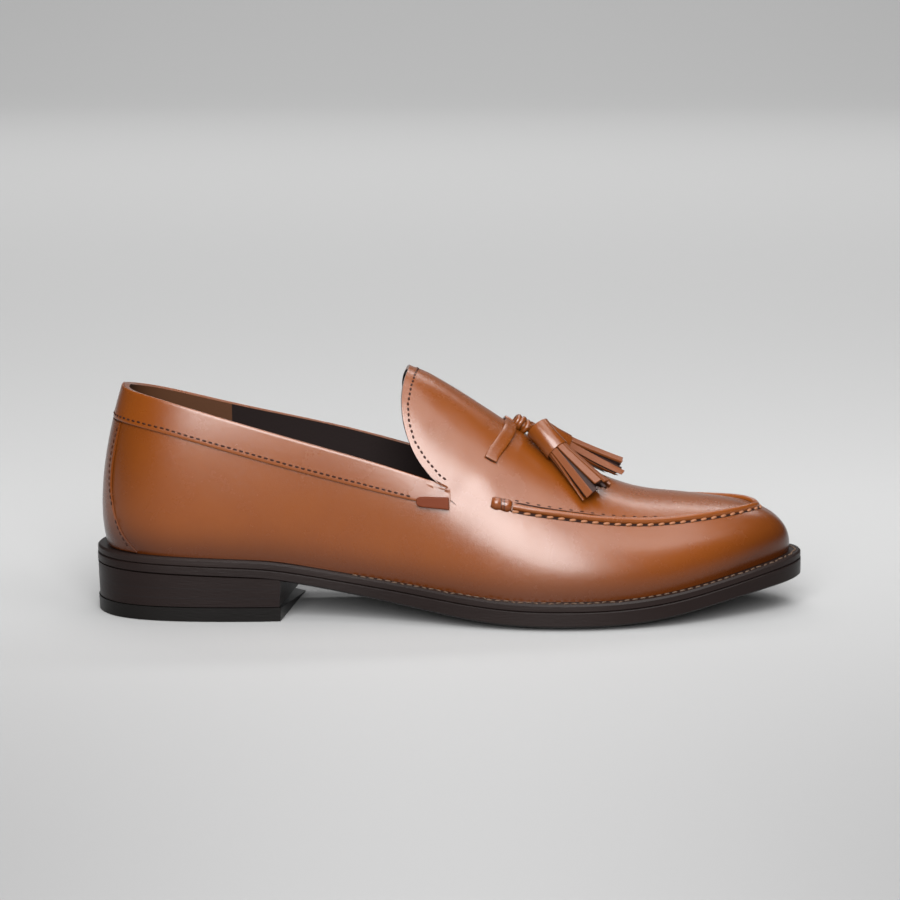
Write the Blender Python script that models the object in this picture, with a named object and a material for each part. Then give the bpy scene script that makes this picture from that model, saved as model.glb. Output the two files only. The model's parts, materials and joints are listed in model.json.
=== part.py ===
"""Tassel loafer for the right foot, empty, standing on its heel and forefoot.

The toe points along +X, the inner (medial) side lies at +Y and +Z is up. The origin is at the
bottom centre of the sole. Places round the shoe are given by a station: 0 is the back of the
heel, -1 and 1 are both the toe, negative stations lie on the outer (lateral) side and positive
ones on the medial side. Heights on the upper are shares of the way from its lower edge, 0, to
its topline or to the ridge over the instep, 1.
"""

import math

import bmesh
import bpy
import numpy as np
from mathutils import Vector
from mathutils.bvhtree import BVHTree

# Sole
SOLE_LENGTH = 0.300
BALL_WIDTH = 0.104
HEEL_HEIGHT = 0.019
TOP_PIECE = 0.0058
OUTSOLE = 0.0078
WELT = 0.003
TOE_SPRING = 0.0118
HEEL_LENGTH = 0.0835
BREAST_SKEW = 0.0085
EDGE_LIFT = 0.0015
EDGE_LIFT_WIDTH = 0.012
WELT_LEDGE = 0.0055
WELT_SEAT = 0.0045
INSOLE = 0.0022
INSOLE_CLEARANCE = 0.0004

# Upper
BACK_HEIGHT = 0.0967
INSTEP_HEIGHT = 0.1043
UPPER_WALL = 0.0022
BAND_WIDTH = 0.0135
BAND_THICKNESS = 0.0011
BACKSTAY_HALF_WIDTH = 0.0180
BACKSTAY_THICKNESS = 0.0009
TAB_LENGTH = 0.0135
TAB_WIDTH = 0.0046
TAB_THICKNESS = 0.0011
ROLL_WIDTH = 0.0029
ROLL_HEIGHT = 0.0019
WRAP_LENGTH = 0.0084
WRAP_WIDTH = 0.0058
WRAP_HEIGHT = 0.0030

# Laces and tassels
STRAP_WIDTH = 0.0056
STRAP_THICKNESS = 0.0012
KNOT_LENGTH = 0.0094
KNOT_RADIUS = 0.0024
CORD_RADIUS = 0.0015
CAP_LENGTH = 0.0138
CAP_RADIUS = 0.0053
FRINGE_LENGTH = 0.0258
STRIP_WIDTH = 0.0030
STRIP_THICKNESS = 0.0011

# Space between pieces that touch
GAP = 0.0003

# Sole edge seen from above. Columns: along as a share of SOLE_LENGTH, then the distance of the
# lateral and of the medial edge from the axis as shares of BALL_WIDTH.
OUTLINE = (
    (0.000, 0.000, 0.000),
    (0.050, 0.250, 0.250),
    (0.110, 0.303, 0.300),
    (0.200, 0.318, 0.308),
    (0.300, 0.312, 0.284),
    (0.390, 0.332, 0.268),
    (0.480, 0.400, 0.300),
    (0.570, 0.470, 0.382),
    (0.640, 0.494, 0.452),
    (0.720, 0.478, 0.500),
    (0.790, 0.428, 0.492),
    (0.860, 0.346, 0.428),
    (0.920, 0.250, 0.336),
    (0.960, 0.164, 0.256),
    (1.000, -0.040, 0.040),
)

# Underside of the outsole. Columns: along as a share of SOLE_LENGTH, height as shares of
# HEEL_HEIGHT and of TOE_SPRING, and thickness as a share of OUTSOLE.
SOLE_LINE = (
    (0.000, 1.000, 0.000, 0.70),
    (0.130, 0.940, 0.000, 0.70),
    (0.262, 0.850, 0.000, 0.70),
    (0.300, 0.730, 0.000, 0.72),
    (0.350, 0.580, 0.000, 0.76),
    (0.400, 0.440, 0.000, 0.82),
    (0.450, 0.300, 0.000, 0.90),
    (0.500, 0.160, 0.000, 0.96),
    (0.550, 0.050, 0.000, 1.00),
    (0.600, 0.000, 0.000, 1.00),
    (0.700, 0.000, 0.000, 1.00),
    (0.760, 0.000, 0.065, 1.00),
    (0.820, 0.000, 0.260, 0.98),
    (0.880, 0.000, 0.570, 0.96),
    (0.940, 0.000, 0.830, 1.03),
    (1.000, 0.000, 1.000, 1.15),
)

# Width of the welt outside the upper. Columns: station, share of WELT_LEDGE.
LEDGES = (
    (0.00, 1.05),
    (0.12, 0.62),
    (0.25, 0.50),
    (0.40, 0.55),
    (0.52, 0.85),
    (0.65, 1.00),
    (0.85, 1.00),
    (1.00, 0.96),
)

# Topline of the quarters, back to the corners of the throat. Columns: station, height on the
# lateral and on the medial side as shares of BACK_HEIGHT.
TOPLINE = (
    (0.000, 0.994, 0.994),
    (0.100, 0.988, 0.968),
    (0.200, 0.955, 0.921),
    (0.300, 0.866, 0.841),
    (0.380, 0.768, 0.773),
    (0.440, 0.686, 0.707),
    (0.470, 0.641, 0.665),
    (0.495, 0.602, 0.630),
)
THROAT = 0.495

# Edge of the tongue from the corner of the throat to its peak. Columns: share of the stations,
# along as a share of SOLE_LENGTH, share of the rise from the corner to the peak.
TONGUE_EDGE = (
    (0.000, 0.492, 0.000),
    (0.125, 0.474, 0.070),
    (0.250, 0.458, 0.190),
    (0.375, 0.446, 0.330),
    (0.500, 0.437, 0.490),
    (0.625, 0.433, 0.650),
    (0.750, 0.433, 0.800),
    (0.875, 0.438, 0.940),
    (1.000, 0.446, 1.000),
)
TONGUE_END = 0.570

# Line over the middle of the foot, where the two sides meet. In front of the peak it is the ridge
# of the vamp, and behind it the leg that the opening leaves room for. Columns: station, along as
# a share of SOLE_LENGTH, across towards the medial side as a share of BALL_WIDTH, height as a
# share of INSTEP_HEIGHT.
CREST = (
    (0.000, 0.110, 0.000, 1.260),
    (0.120, 0.128, 0.000, 1.260),
    (0.220, 0.165, 0.000, 1.250),
    (0.300, 0.225, 0.000, 1.230),
    (0.380, 0.320, 0.000, 1.150),
    (0.440, 0.405, 0.000, 1.050),
    (0.466, 0.446, 0.000, 1.000),
    (0.500, 0.497, 0.008, 0.917),
    (0.550, 0.575, 0.022, 0.768),
    (0.600, 0.645, 0.032, 0.636),
    (0.650, 0.705, 0.037, 0.545),
    (0.700, 0.757, 0.040, 0.486),
    (0.760, 0.805, 0.040, 0.464),
    (0.820, 0.840, 0.040, 0.454),
    (0.880, 0.868, 0.040, 0.446),
    (0.940, 0.886, 0.040, 0.440),
    (1.000, 0.896, 0.040, 0.435),
)
PEAK = 0.466

# Shape of the sections of the last. Columns: station, outward flare at the bottom in degrees,
# fullness low and high as shares of the section's span.
SECTIONS = (
    (0.000, 16.0, 0.30, 0.11),
    (0.100, 17.0, 0.30, 0.18),
    (0.200, 14.0, 0.30, 0.26),
    (0.300, 10.0, 0.30, 0.30),
    (0.400, 8.0, 0.32, 0.34),
    (0.466, 8.0, 0.33, 0.31),
    (0.550, 9.0, 0.34, 0.32),
    (0.650, 11.0, 0.38, 0.38),
    (0.760, 12.0, 0.42, 0.48),
    (0.880, 12.0, 0.44, 0.54),
    (1.000, 8.0, 0.40, 0.48),
)

# Seam of the apron on the sections of the last. Columns: station, section share on the lateral
# and on the medial side.
SEAM = (
    (0.530, 0.415, 0.415),
    (0.549, 0.429, 0.429),
    (0.577, 0.446, 0.446),
    (0.604, 0.468, 0.468),
    (0.633, 0.487, 0.487),
    (0.663, 0.512, 0.512),
    (0.696, 0.539, 0.539),
    (0.733, 0.561, 0.563),
    (0.770, 0.578, 0.583),
    (0.793, 0.594, 0.602),
    (0.851, 0.638, 0.653),
    (0.901, 0.686, 0.700),
    (1.000, 0.735, 0.735),
)

# Width of the collar band. Columns: station, share of BAND_WIDTH.
BAND_WIDTHS = (
    (0.00, 1.07),
    (0.20, 1.00),
    (0.35, 0.97),
    (0.45, 0.87),
    (0.47, 0.80),
    (0.50, 0.60),
)
BAND_END = 0.500

# Width of the backstay. Columns: share of its height, share of BACKSTAY_HALF_WIDTH.
BACKSTAY_WIDTHS = (
    (0.00, 1.38),
    (0.15, 1.27),
    (0.35, 1.12),
    (0.60, 0.99),
    (1.00, 0.92),
)

# Bar over the front end of the band. Columns: share of TAB_LENGTH from the back, height of its
# middle as a share of BACK_HEIGHT, share of TAB_WIDTH.
TAB = (
    (0.00, 0.534, 0.45),
    (0.06, 0.533, 0.78),
    (0.18, 0.532, 0.96),
    (0.45, 0.530, 1.00),
    (0.75, 0.528, 1.04),
    (1.00, 0.525, 1.10),
)
TAB_FRONT = 0.499

COLLAR_STATIONS = 16
TONGUE_STATIONS = 8
VAMP_STATIONS = 17
PROFILE_ROWS = 13


def natural_spline(table, column):
    """A curvature-smooth curve through one column of a table, as a function of its first."""
    x = np.array([row[0] for row in table])
    y = np.array([row[column] for row in table])
    h = np.diff(x)
    system = np.eye(len(x))
    right = np.zeros(len(x))
    for i in range(1, len(x) - 1):
        system[i, i - 1 : i + 2] = h[i - 1], 2 * (h[i - 1] + h[i]), h[i]
        right[i] = 6 * ((y[i + 1] - y[i]) / h[i] - (y[i] - y[i - 1]) / h[i - 1])
    bend = np.linalg.solve(system, right)

    def value(at):
        i = int(np.clip(np.searchsorted(x, at) - 1, 0, len(h) - 1))
        a = (x[i + 1] - at) / h[i]
        b = 1 - a
        curve = (a**3 - a) * bend[i] + (b**3 - b) * bend[i + 1]
        return float(a * y[i] + b * y[i + 1] + curve * h[i] ** 2 / 6)

    return value


def level_spline(table, column):
    """A curve through one column of a table that never swings past its rows."""
    x = np.array([row[0] for row in table])
    y = np.array([row[column] for row in table])
    rise = np.diff(y) / np.diff(x)
    slope = np.zeros(len(x))
    for i in range(1, len(x) - 1):
        if rise[i - 1] * rise[i] > 0:
            slope[i] = 2 * rise[i - 1] * rise[i] / (rise[i - 1] + rise[i])
    slope[0], slope[-1] = rise[0], rise[-1]

    def value(at):
        i = int(np.clip(np.searchsorted(x, at) - 1, 0, len(rise) - 1))
        h = x[i + 1] - x[i]
        t = float(np.clip((at - x[i]) / h, 0.0, 1.0))
        start = (1 + 2 * t) * (1 - t) ** 2 * y[i] + t * (1 - t) ** 2 * h * slope[i]
        end = t * t * (3 - 2 * t) * y[i + 1] + t * t * (t - 1) * h * slope[i + 1]
        return float(start + end)

    return value


def by_turn(table):
    """The outline's rows with their along share turned into the station that it lies at."""
    return tuple((math.acos(1 - 2 * row[0]) / math.pi,) + tuple(row[1:]) for row in table)


def unit(vector):
    return vector / np.linalg.norm(vector)


lateral_edge = natural_spline(by_turn(OUTLINE), 1)
medial_edge = natural_spline(by_turn(OUTLINE), 2)
heel_share = level_spline(SOLE_LINE, 1)
spring_share = level_spline(SOLE_LINE, 2)
thickness_share = level_spline(SOLE_LINE, 3)
ledge_share = level_spline(LEDGES, 1)
topline = {-1: natural_spline(TOPLINE, 1), 1: natural_spline(TOPLINE, 2)}
tongue_along = natural_spline(TONGUE_EDGE, 1)
tongue_rise = natural_spline(TONGUE_EDGE, 2)
crest = [natural_spline(CREST, column) for column in range(1, 4)]
section_shape = [level_spline(SECTIONS, column) for column in range(1, 4)]
band_share = level_spline(BAND_WIDTHS, 1)
backstay_share = level_spline(BACKSTAY_WIDTHS, 1)
seam_height = {-1: level_spline(SEAM, 1), 1: level_spline(SEAM, 2)}


def middle_of_outline():
    """Distance from the axis to the middle of the sole's width."""
    stations = np.linspace(0, 1, 101)
    outer = max(lateral_edge(u) for u in stations)
    inner = max(medial_edge(u) for u in stations)
    return (inner - outer) / 2 * BALL_WIDTH


AXIS_Y = -middle_of_outline()


def wrapped(station):
    """The same place round the shoe, between -1 and 1."""
    return (station + 1) % 2 - 1


def sole_edge(station):
    """Plan point of the sole's edge at a station."""
    station = wrapped(station)
    u = abs(station)
    x = ((1 - math.cos(math.pi * u)) / 2 - 0.5) * SOLE_LENGTH
    if station < 0:
        return np.array([x, AXIS_Y - lateral_edge(u) * BALL_WIDTH])
    return np.array([x, AXIS_Y + medial_edge(u) * BALL_WIDTH])


def outward(station, step=0.004):
    """Plan direction that points away from the shoe at a station."""
    ahead = sole_edge(station + step) - sole_edge(station - step)
    return unit(np.array([-ahead[1], ahead[0]]))


def inset_edge(station, inset):
    return sole_edge(station) - outward(station) * inset


def ledge(station):
    return ledge_share(abs(wrapped(station))) * WELT_LEDGE


def along_share(x):
    return float(np.clip(x / SOLE_LENGTH + 0.5, 0.0, 1.0))


def sole_bottom(x):
    """Height of the outsole's underside."""
    at = along_share(x)
    return heel_share(at) * HEEL_HEIGHT + spring_share(at) * TOE_SPRING


def sole_top(x):
    return sole_bottom(x) + thickness_share(along_share(x)) * OUTSOLE


def welt_bottom(x):
    return sole_top(x) + GAP


def welt_top(x):
    return welt_bottom(x) + WELT


def upper_foot(x):
    """Height of the lower edge of the upper."""
    return welt_top(x) + GAP


def side_of(station):
    return -1 if wrapped(station) < 0 else 1


def crest_point(turn):
    x, y, z = (curve(turn) for curve in crest)
    return np.array([(x - 0.5) * SOLE_LENGTH, AXIS_Y + y * BALL_WIDTH, z * INSTEP_HEIGHT])


sections = {}


def section(station):
    """The four points that a section of the last is drawn from, welt to crest."""
    key = round(wrapped(station), 7)
    if key in sections:
        return sections[key]
    flare, low, high = (curve(abs(key)) for curve in section_shape)
    plan = inset_edge(key, ledge(key))
    foot = np.array([plan[0], plan[1], upper_foot(plan[0])])
    top = crest_point(abs(key))
    span = np.linalg.norm(top - foot)
    away = outward(key)
    flare = math.radians(flare)
    rise = np.array([away[0] * math.sin(flare), away[1] * math.sin(flare), math.cos(flare)])
    near, far = crest_point(max(abs(key) - 0.01, 0.0)), crest_point(min(abs(key) + 0.01, 1.0))
    slope = (far[2] - near[2]) / (far[0] - near[0])
    run = top[:2] - foot[:2]
    over = unit(np.array([run[0], run[1], run[0] * slope]))
    sections[key] = foot, foot + rise * low * span, top - over * high * span, top
    return sections[key]


def on_section(station, t):
    """Point of the last on the section at a station, t from the welt, 0, to the crest, 1."""
    a, b, c, d = section(station)
    s = 1 - t
    return a * s**3 + b * 3 * t * s * s + c * 3 * t * t * s + d * t**3


def bisected(value, want, low, high):
    """Where a rising function reaches a value."""
    for _ in range(36):
        middle = (low + high) / 2
        if value(middle) < want:
            low = middle
        else:
            high = middle
    return low


def at_height(station, z):
    return bisected(lambda t: on_section(station, t)[2], z, 0.0, 1.0)


def place_at(side, x, z):
    """Turn and section share of the place on one side at a distance along and a height."""

    def reach(turn):
        return on_section(side * turn, at_height(side * turn, z))[0]

    turn = bisected(reach, x, 0.3, 0.62)
    return turn, at_height(side * turn, z)


def edge_place(side, share):
    """Turn and section share of a place on the edge of the tongue."""
    if share >= 1:
        return PEAK, 1.0
    corner = topline[side](THROAT) * BACK_HEIGHT
    z = corner + (INSTEP_HEIGHT - corner) * tongue_rise(share)
    return place_at(side, (tongue_along(share) - 0.5) * SOLE_LENGTH, z)


def rim(station):
    """Section share of the topline of the quarters."""
    return at_height(station, topline[side_of(station)](abs(wrapped(station))) * BACK_HEIGHT)


def share_below(station, share, length):
    """Section share of the place a length below another on the same section."""
    shares = np.linspace(share, 0, 41)
    points = np.array([on_section(station, at) for at in shares])
    run = np.concatenate([[0], np.cumsum(np.linalg.norm(np.diff(points, axis=0), axis=1))])
    return float(np.interp(length, run, shares))


def column_end(station):
    """Turn and section share where the upper ends above a station on the welt."""
    side, u = side_of(station), abs(wrapped(station))
    if u <= THROAT:
        return u, rim(station)
    if u < TONGUE_END:
        return edge_place(side, (u - THROAT) / (TONGUE_END - THROAT))
    return PEAK + (1 - PEAK) * (u - TONGUE_END) / (1 - TONGUE_END), 1.0


COLUMN_STEPS = 32
columns_made = {}


def column(station):
    """A line up the upper: its turns, section shares and length shares.

    In front of the throat it rises clear of the corner before it sweeps back to its end.
    """
    key = round(wrapped(station), 7)
    if key in columns_made:
        return columns_made[key]
    side, u = side_of(key), abs(key)
    end_turn, end = column_end(key)
    clear = 0.0
    if u > THROAT:
        clear = rim(side * THROAT)
        clear *= min(1.0, (1 - u) / (1 - TONGUE_END)) * 0.9
    shares = np.linspace(0, end, COLUMN_STEPS + 1)
    bend = np.clip((shares - clear) / (end - clear), 0, 1) ** 1.3
    turns = u + (end_turn - u) * bend
    points = np.array([on_section(side * turn, t) for turn, t in zip(turns, shares)])
    length = np.concatenate([[0], np.cumsum(np.linalg.norm(np.diff(points, axis=0), axis=1))])
    columns_made[key] = side * turns, shares, length / length[-1]
    return columns_made[key]


def on_column(station, height):
    """Turn and section share of the place at a height above a station on the welt."""
    turns, shares, lengths = column(station)
    return float(np.interp(height, lengths, turns)), float(np.interp(height, lengths, shares))


def last_normal(turn, t):
    step = 0.004
    up = on_section(turn, min(t + step, 1.0)) - on_section(turn, max(t - step, 0.0))
    ahead = on_section(turn + step, t) - on_section(turn - step, t)
    return unit(np.cross(up, ahead))


def lifted(turn, share, lift):
    return on_section(turn, share) + last_normal(turn, share) * lift


def material(name, colour, roughness):
    made = bpy.data.materials.new(name)
    made.use_nodes = True
    shader = made.node_tree.nodes["Principled BSDF"]
    shader.inputs["Base Color"].default_value = (*colour, 1.0)
    shader.inputs["Roughness"].default_value = roughness
    shader.inputs["Metallic"].default_value = 0.0
    return made


def new_object(name, points, faces, finish):
    """A closed body with its faces outward, from points and faces given by their corners."""
    mesh = bpy.data.meshes.new(name)
    work = bmesh.new()
    corners = [work.verts.new(Vector(point)) for point in points]
    for face in faces:
        ring = [corners[i] for i in dict.fromkeys(face)]
        if len(ring) > 2:
            work.faces.new(ring)
    loose = [vertex for vertex in work.verts if not vertex.link_faces]
    bmesh.ops.delete(work, geom=loose, context="VERTS")
    bmesh.ops.recalc_face_normals(work, faces=work.faces)
    work.to_mesh(mesh)
    work.free()
    mesh.materials.append(finish)
    mesh.shade_smooth()
    mesh.set_sharp_from_angle(angle=math.radians(40))
    made = bpy.data.objects.new(name, mesh)
    bpy.context.scene.collection.objects.link(made)
    return made


def ring_walls(rows, columns, closed=True):
    """Faces between rows of points that each hold the same number of columns."""
    faces = []
    for row in range(rows - 1):
        for column in range(columns if closed else columns - 1):
            ahead = (column + 1) % columns
            here, above = row * columns, (row + 1) * columns
            faces.append((here + column, here + ahead, above + ahead, above + column))
    return faces


def ladder(start, columns):
    """Faces across a ring whose two halves mirror each other, from end to end."""
    faces = []
    for rung in range(columns // 2):
        a, b = start + rung, start + rung + 1
        c, d = start + columns - rung - 1, start + (columns - rung) % columns
        faces.append((a, b, c, d))
    return faces


SOLE_STATIONS = [step / 60 * 2 - 1 for step in range(60)]


def plan_ring(inset, height, stations=SOLE_STATIONS):
    """Points round the sole at an inset from its edge, each at the height of its place."""
    points = []
    for station in stations:
        x, y = inset_edge(station, inset(station))
        points.append((x, y, height(x)))
    return points


def slab(name, rings, finish, open_middle=False):
    """A body from rings of the outline, one above the other, closed across both ends."""
    columns = len(rings[0])
    points = [point for ring in rings for point in ring]
    faces = ring_walls(len(rings), columns)
    if open_middle:
        last = (len(rings) - 1) * columns
        for column in range(columns):
            ahead = (column + 1) % columns
            faces.append((last + column, last + ahead, ahead, column))
    else:
        faces += ladder(0, columns) + ladder((len(rings) - 1) * columns, columns)
    return new_object(name, points, faces, finish)


def build_outsole(finish):
    rounding = 0.0008
    foot = EDGE_LIFT_WIDTH
    return slab(
        "outsole",
        [
            plan_ring(lambda s: foot, sole_bottom),
            plan_ring(lambda s: foot / 3, lambda x: sole_bottom(x) + EDGE_LIFT * 0.5),
            plan_ring(lambda s: rounding, lambda x: sole_bottom(x) + EDGE_LIFT),
            plan_ring(lambda s: 0.0, lambda x: sole_bottom(x) + EDGE_LIFT + rounding),
            plan_ring(lambda s: 0.0, lambda x: sole_top(x) - rounding / 2),
            plan_ring(lambda s: rounding / 2, sole_top),
        ],
        finish,
    )


def build_welt(finish):
    rounding = 0.0007
    recess = 0.0003
    inner = lambda s: ledge(s) + WELT_SEAT
    return slab(
        "welt",
        [
            plan_ring(inner, welt_bottom),
            plan_ring(lambda s: recess + rounding / 2, welt_bottom),
            plan_ring(lambda s: recess, lambda x: welt_bottom(x) + rounding / 2),
            plan_ring(lambda s: recess, lambda x: welt_top(x) - rounding),
            plan_ring(lambda s: recess + rounding, welt_top),
            plan_ring(inner, welt_top),
        ],
        finish,
        open_middle=True,
    )


def build_insole(finish):
    inner = lambda s: ledge(s) + WELT_SEAT + INSOLE_CLEARANCE
    outer = lambda s: ledge(s) + UPPER_WALL + INSOLE_CLEARANCE
    seat = lambda x: welt_top(x) + GAP
    return slab(
        "insole",
        [
            plan_ring(inner, welt_bottom),
            plan_ring(inner, seat),
            plan_ring(outer, seat),
            plan_ring(outer, lambda x: seat(x) + INSOLE),
        ],
        finish,
    )


def heel_ring(height, inset, shrink=0.0):
    """Outline of the heel at one level: the sole's edge back from the skewed breast."""
    middle = -SOLE_LENGTH / 2 + HEEL_LENGTH
    ends = {}
    for side in (-1, 1):
        reach = middle + side * BREAST_SKEW / 2 - shrink
        ends[side] = math.acos(-2 * reach / SOLE_LENGTH) / math.pi
    half = [u for u in SOLE_STATIONS if 0 < u < ends[-1] - 0.01]
    stations = [-ends[-1]] + [-u for u in reversed(half)] + [0.0] + half + [ends[1]]
    points = []
    for station in stations:
        x, y = inset_edge(station, inset)
        points.append((x, y, height(x)))
    return points


def heel_body(name, bottom, top, finish, inset, shrink):
    lower = heel_ring(bottom, inset + shrink, shrink)
    upper = heel_ring(top, inset, 0.0)
    columns = len(lower)
    faces = ring_walls(2, columns)
    for start in (0, columns):
        for rung in range(columns // 2):
            mirror = columns - 1 - rung
            faces.append((start + rung, start + rung + 1, start + mirror - 1, start + mirror))
    return new_object(name, lower + upper, faces, finish)


def build_heel(stack_finish, rubber):
    inset = 0.0006
    heel_body(
        "heel_top_piece", lambda x: 0.0, lambda x: TOP_PIECE, rubber, inset + 0.0006, 0.0003
    )
    heel_body(
        "heel_stack",
        lambda x: TOP_PIECE + GAP,
        lambda x: sole_bottom(x) - GAP,
        stack_finish,
        inset,
        0.0006,
    )


def upper_stations():
    """Stations from the heel to the toe, close together along the edge of the tongue."""
    collar = np.linspace(0, THROAT, COLLAR_STATIONS, endpoint=False)
    tongue = np.linspace(THROAT, TONGUE_END, TONGUE_STATIONS, endpoint=False)
    vamp = np.linspace(TONGUE_END, 1, VAMP_STATIONS + 1)
    return [float(u) for u in np.concatenate([collar, tongue, vamp])]


def shell_points(lift, rows):
    """Points of one face of the upper, and the index of each by station and row.

    Both sides share the points of the ridge, and the toe's profile ends where its neighbours do.
    """
    half = upper_stations()
    stations = [-u for u in reversed(half)][:-1] + half[:-1]
    points, index = [], {}
    shared = {}
    last = half[-2]
    for column, station in enumerate(stations):
        for row in range(rows + 1):
            if row == rows and abs(station) >= TONGUE_END - 1e-6:
                u = min(abs(station), last)
                if u not in shared:
                    both = [lifted(*on_column(side * u, 1.0), lift) for side in (-1, 1)]
                    shared[u] = len(points)
                    points.append(sum(both) / 2)
                index[column, row] = shared[u]
                continue
            index[column, row] = len(points)
            points.append(lifted(*on_column(station, row / rows), lift))
    return stations, points, index


def shell_faces(stations, index, rows, shift=0):
    faces = []
    columns = len(stations)
    for column in range(columns):
        ahead = (column + 1) % columns
        for row in range(rows):
            corners = (
                index[column, row],
                index[ahead, row],
                index[ahead, row + 1],
                index[column, row + 1],
            )
            faces.append([corner + shift for corner in corners])
    return faces


def build_upper(finish):
    rows = PROFILE_ROWS
    stations, outer, index = shell_points(0.0, rows)
    _, inner, _ = shell_points(-UPPER_WALL, rows)
    shift = len(outer)
    faces = shell_faces(stations, index, rows) + shell_faces(stations, index, rows, shift)
    columns = len(stations)
    for column in range(columns):
        ahead = (column + 1) % columns
        a, b = index[column, 0], index[ahead, 0]
        faces.append((a, b, b + shift, a + shift))
        if max(abs(stations[column]), abs(stations[ahead])) <= TONGUE_END + 1e-6:
            a, b = index[column, rows], index[ahead, rows]
            faces.append((a, b, b + shift, a + shift))
    return new_object("upper", outer + inner, faces, finish)


def patch(name, grid, near, far, finish):
    """A thin piece over the upper. The grid holds rows of (turn, section share)."""
    rows, columns = len(grid), len(grid[0])
    flat = [place for row in grid for place in row]
    points = [lifted(s, h, near) for s, h in flat] + [lifted(s, h, far) for s, h in flat]
    shift = len(flat)
    faces = []
    for row in range(rows - 1):
        for column in range(columns - 1):
            a = row * columns + column
            corners = (a, a + 1, a + columns + 1, a + columns)
            faces.append(corners)
            faces.append([corner + shift for corner in corners])
    rim = [(0, c) for c in range(columns)] + [(r, columns - 1) for r in range(1, rows)]
    rim += [(rows - 1, c) for c in range(columns - 2, -1, -1)]
    rim += [(r, 0) for r in range(rows - 2, 0, -1)]
    ring = [row * columns + column for row, column in rim]
    for a, b in zip(ring, ring[1:] + ring[:1]):
        faces.append((a, b, b + shift, a + shift))
    return new_object(name, points, faces, finish)


def band_foot(station):
    """Section share of the band's lower edge."""
    return share_below(station, rim(station), BAND_WIDTH * band_share(abs(station)))


def build_band(finish):
    half = np.linspace(0, BAND_END, COLLAR_STATIONS + 2)
    stations = [float(u) for u in np.concatenate([-half[:0:-1], half])]
    rows = 3
    edges = [(s, band_foot(s), rim(s)) for s in stations]
    grid = []
    for row in range(rows + 1):
        grid.append([(s, foot + (top - foot) * row / rows) for s, foot, top in edges])
    return patch("collar_band", grid, GAP, GAP + BAND_THICKNESS, finish)


def backstay_edge(share, height):
    """Station at which the backstay ends at a section share: it widens towards the sole."""
    want = BACKSTAY_HALF_WIDTH * backstay_share(height)
    return bisected(lambda at: on_section(at, share)[1] - AXIS_Y, want, 0.0, 0.3)


def build_backstay(finish):
    columns, rows = 10, 10
    bottom = 0.008
    grid = []
    for row in range(rows + 1):
        height = row / rows
        edge = backstay_edge(bottom + (band_foot(0.0) - bottom) * height, height)
        line = []
        for column in range(columns + 1):
            station = (column / columns * 2 - 1) * edge
            limit = share_below(station, band_foot(station), 2.5 * GAP)
            line.append((station, bottom + (limit - bottom) * height))
        grid.append(line)
    return patch("backstay", grid, 1.5 * GAP, 1.5 * GAP + BACKSTAY_THICKNESS, finish)


def build_tab(name, side, finish):
    """The bar over the front end of the band."""
    near = 2 * GAP + BAND_THICKNESS
    front = (TAB_FRONT - 0.5) * SOLE_LENGTH
    grid = []
    for across in (-0.5, 0.0, 0.5):
        line = []
        for back, height, width in TAB:
            x = front - TAB_LENGTH * (1 - back)
            z = height * BACK_HEIGHT + across * width * TAB_WIDTH
            turn, share = place_at(side, x, z)
            line.append((side * turn, share))
        grid.append(line)
    return patch(name, grid, near, near + TAB_THICKNESS, finish)


def sweep(name, centres, sides, normals, section, finish):
    """A solid from one section carried along a route. The section holds (across, up)."""
    points = []
    for centre, across, up in zip(centres, sides, normals):
        for shift, lift in section:
            points.append(centre + across * shift + up * lift)
    columns = len(section)
    faces = ring_walls(len(centres), columns)
    faces.append(tuple(range(columns)))
    last = (len(centres) - 1) * columns
    faces.append(tuple(last + column for column in range(columns)))
    return new_object(name, points, faces, finish)


def seam_route(start, steps):
    """Centres, sideways directions and normals along the apron seam, lateral to medial."""
    half = np.linspace(start, 1, steps)
    stations = [-float(u) for u in half] + [float(u) for u in half[-2::-1]]
    places = [(s, seam_height[-1 if s < 0 else 1](abs(s))) for s in stations]
    centres = [on_section(s, h) for s, h in places]
    normals = [last_normal(s, h) for s, h in places]
    sides = []
    for i, up in enumerate(normals):
        ahead = centres[min(i + 1, len(centres) - 1)] - centres[max(i - 1, 0)]
        sides.append(unit(np.cross(up, ahead)))
    return centres, sides, normals


ROLL_START = 0.555


def build_roll(finish):
    centres, sides, normals = seam_route(ROLL_START, 30)
    half, low, high = ROLL_WIDTH / 2, GAP, GAP + ROLL_HEIGHT
    section = [
        (-half, low),
        (-half * 0.9, low + ROLL_HEIGHT * 0.55),
        (-half * 0.45, high),
        (half * 0.45, high),
        (half * 0.9, low + ROLL_HEIGHT * 0.55),
        (half, low),
    ]
    return sweep("apron_roll", centres, sides, normals, section, finish)


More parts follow.
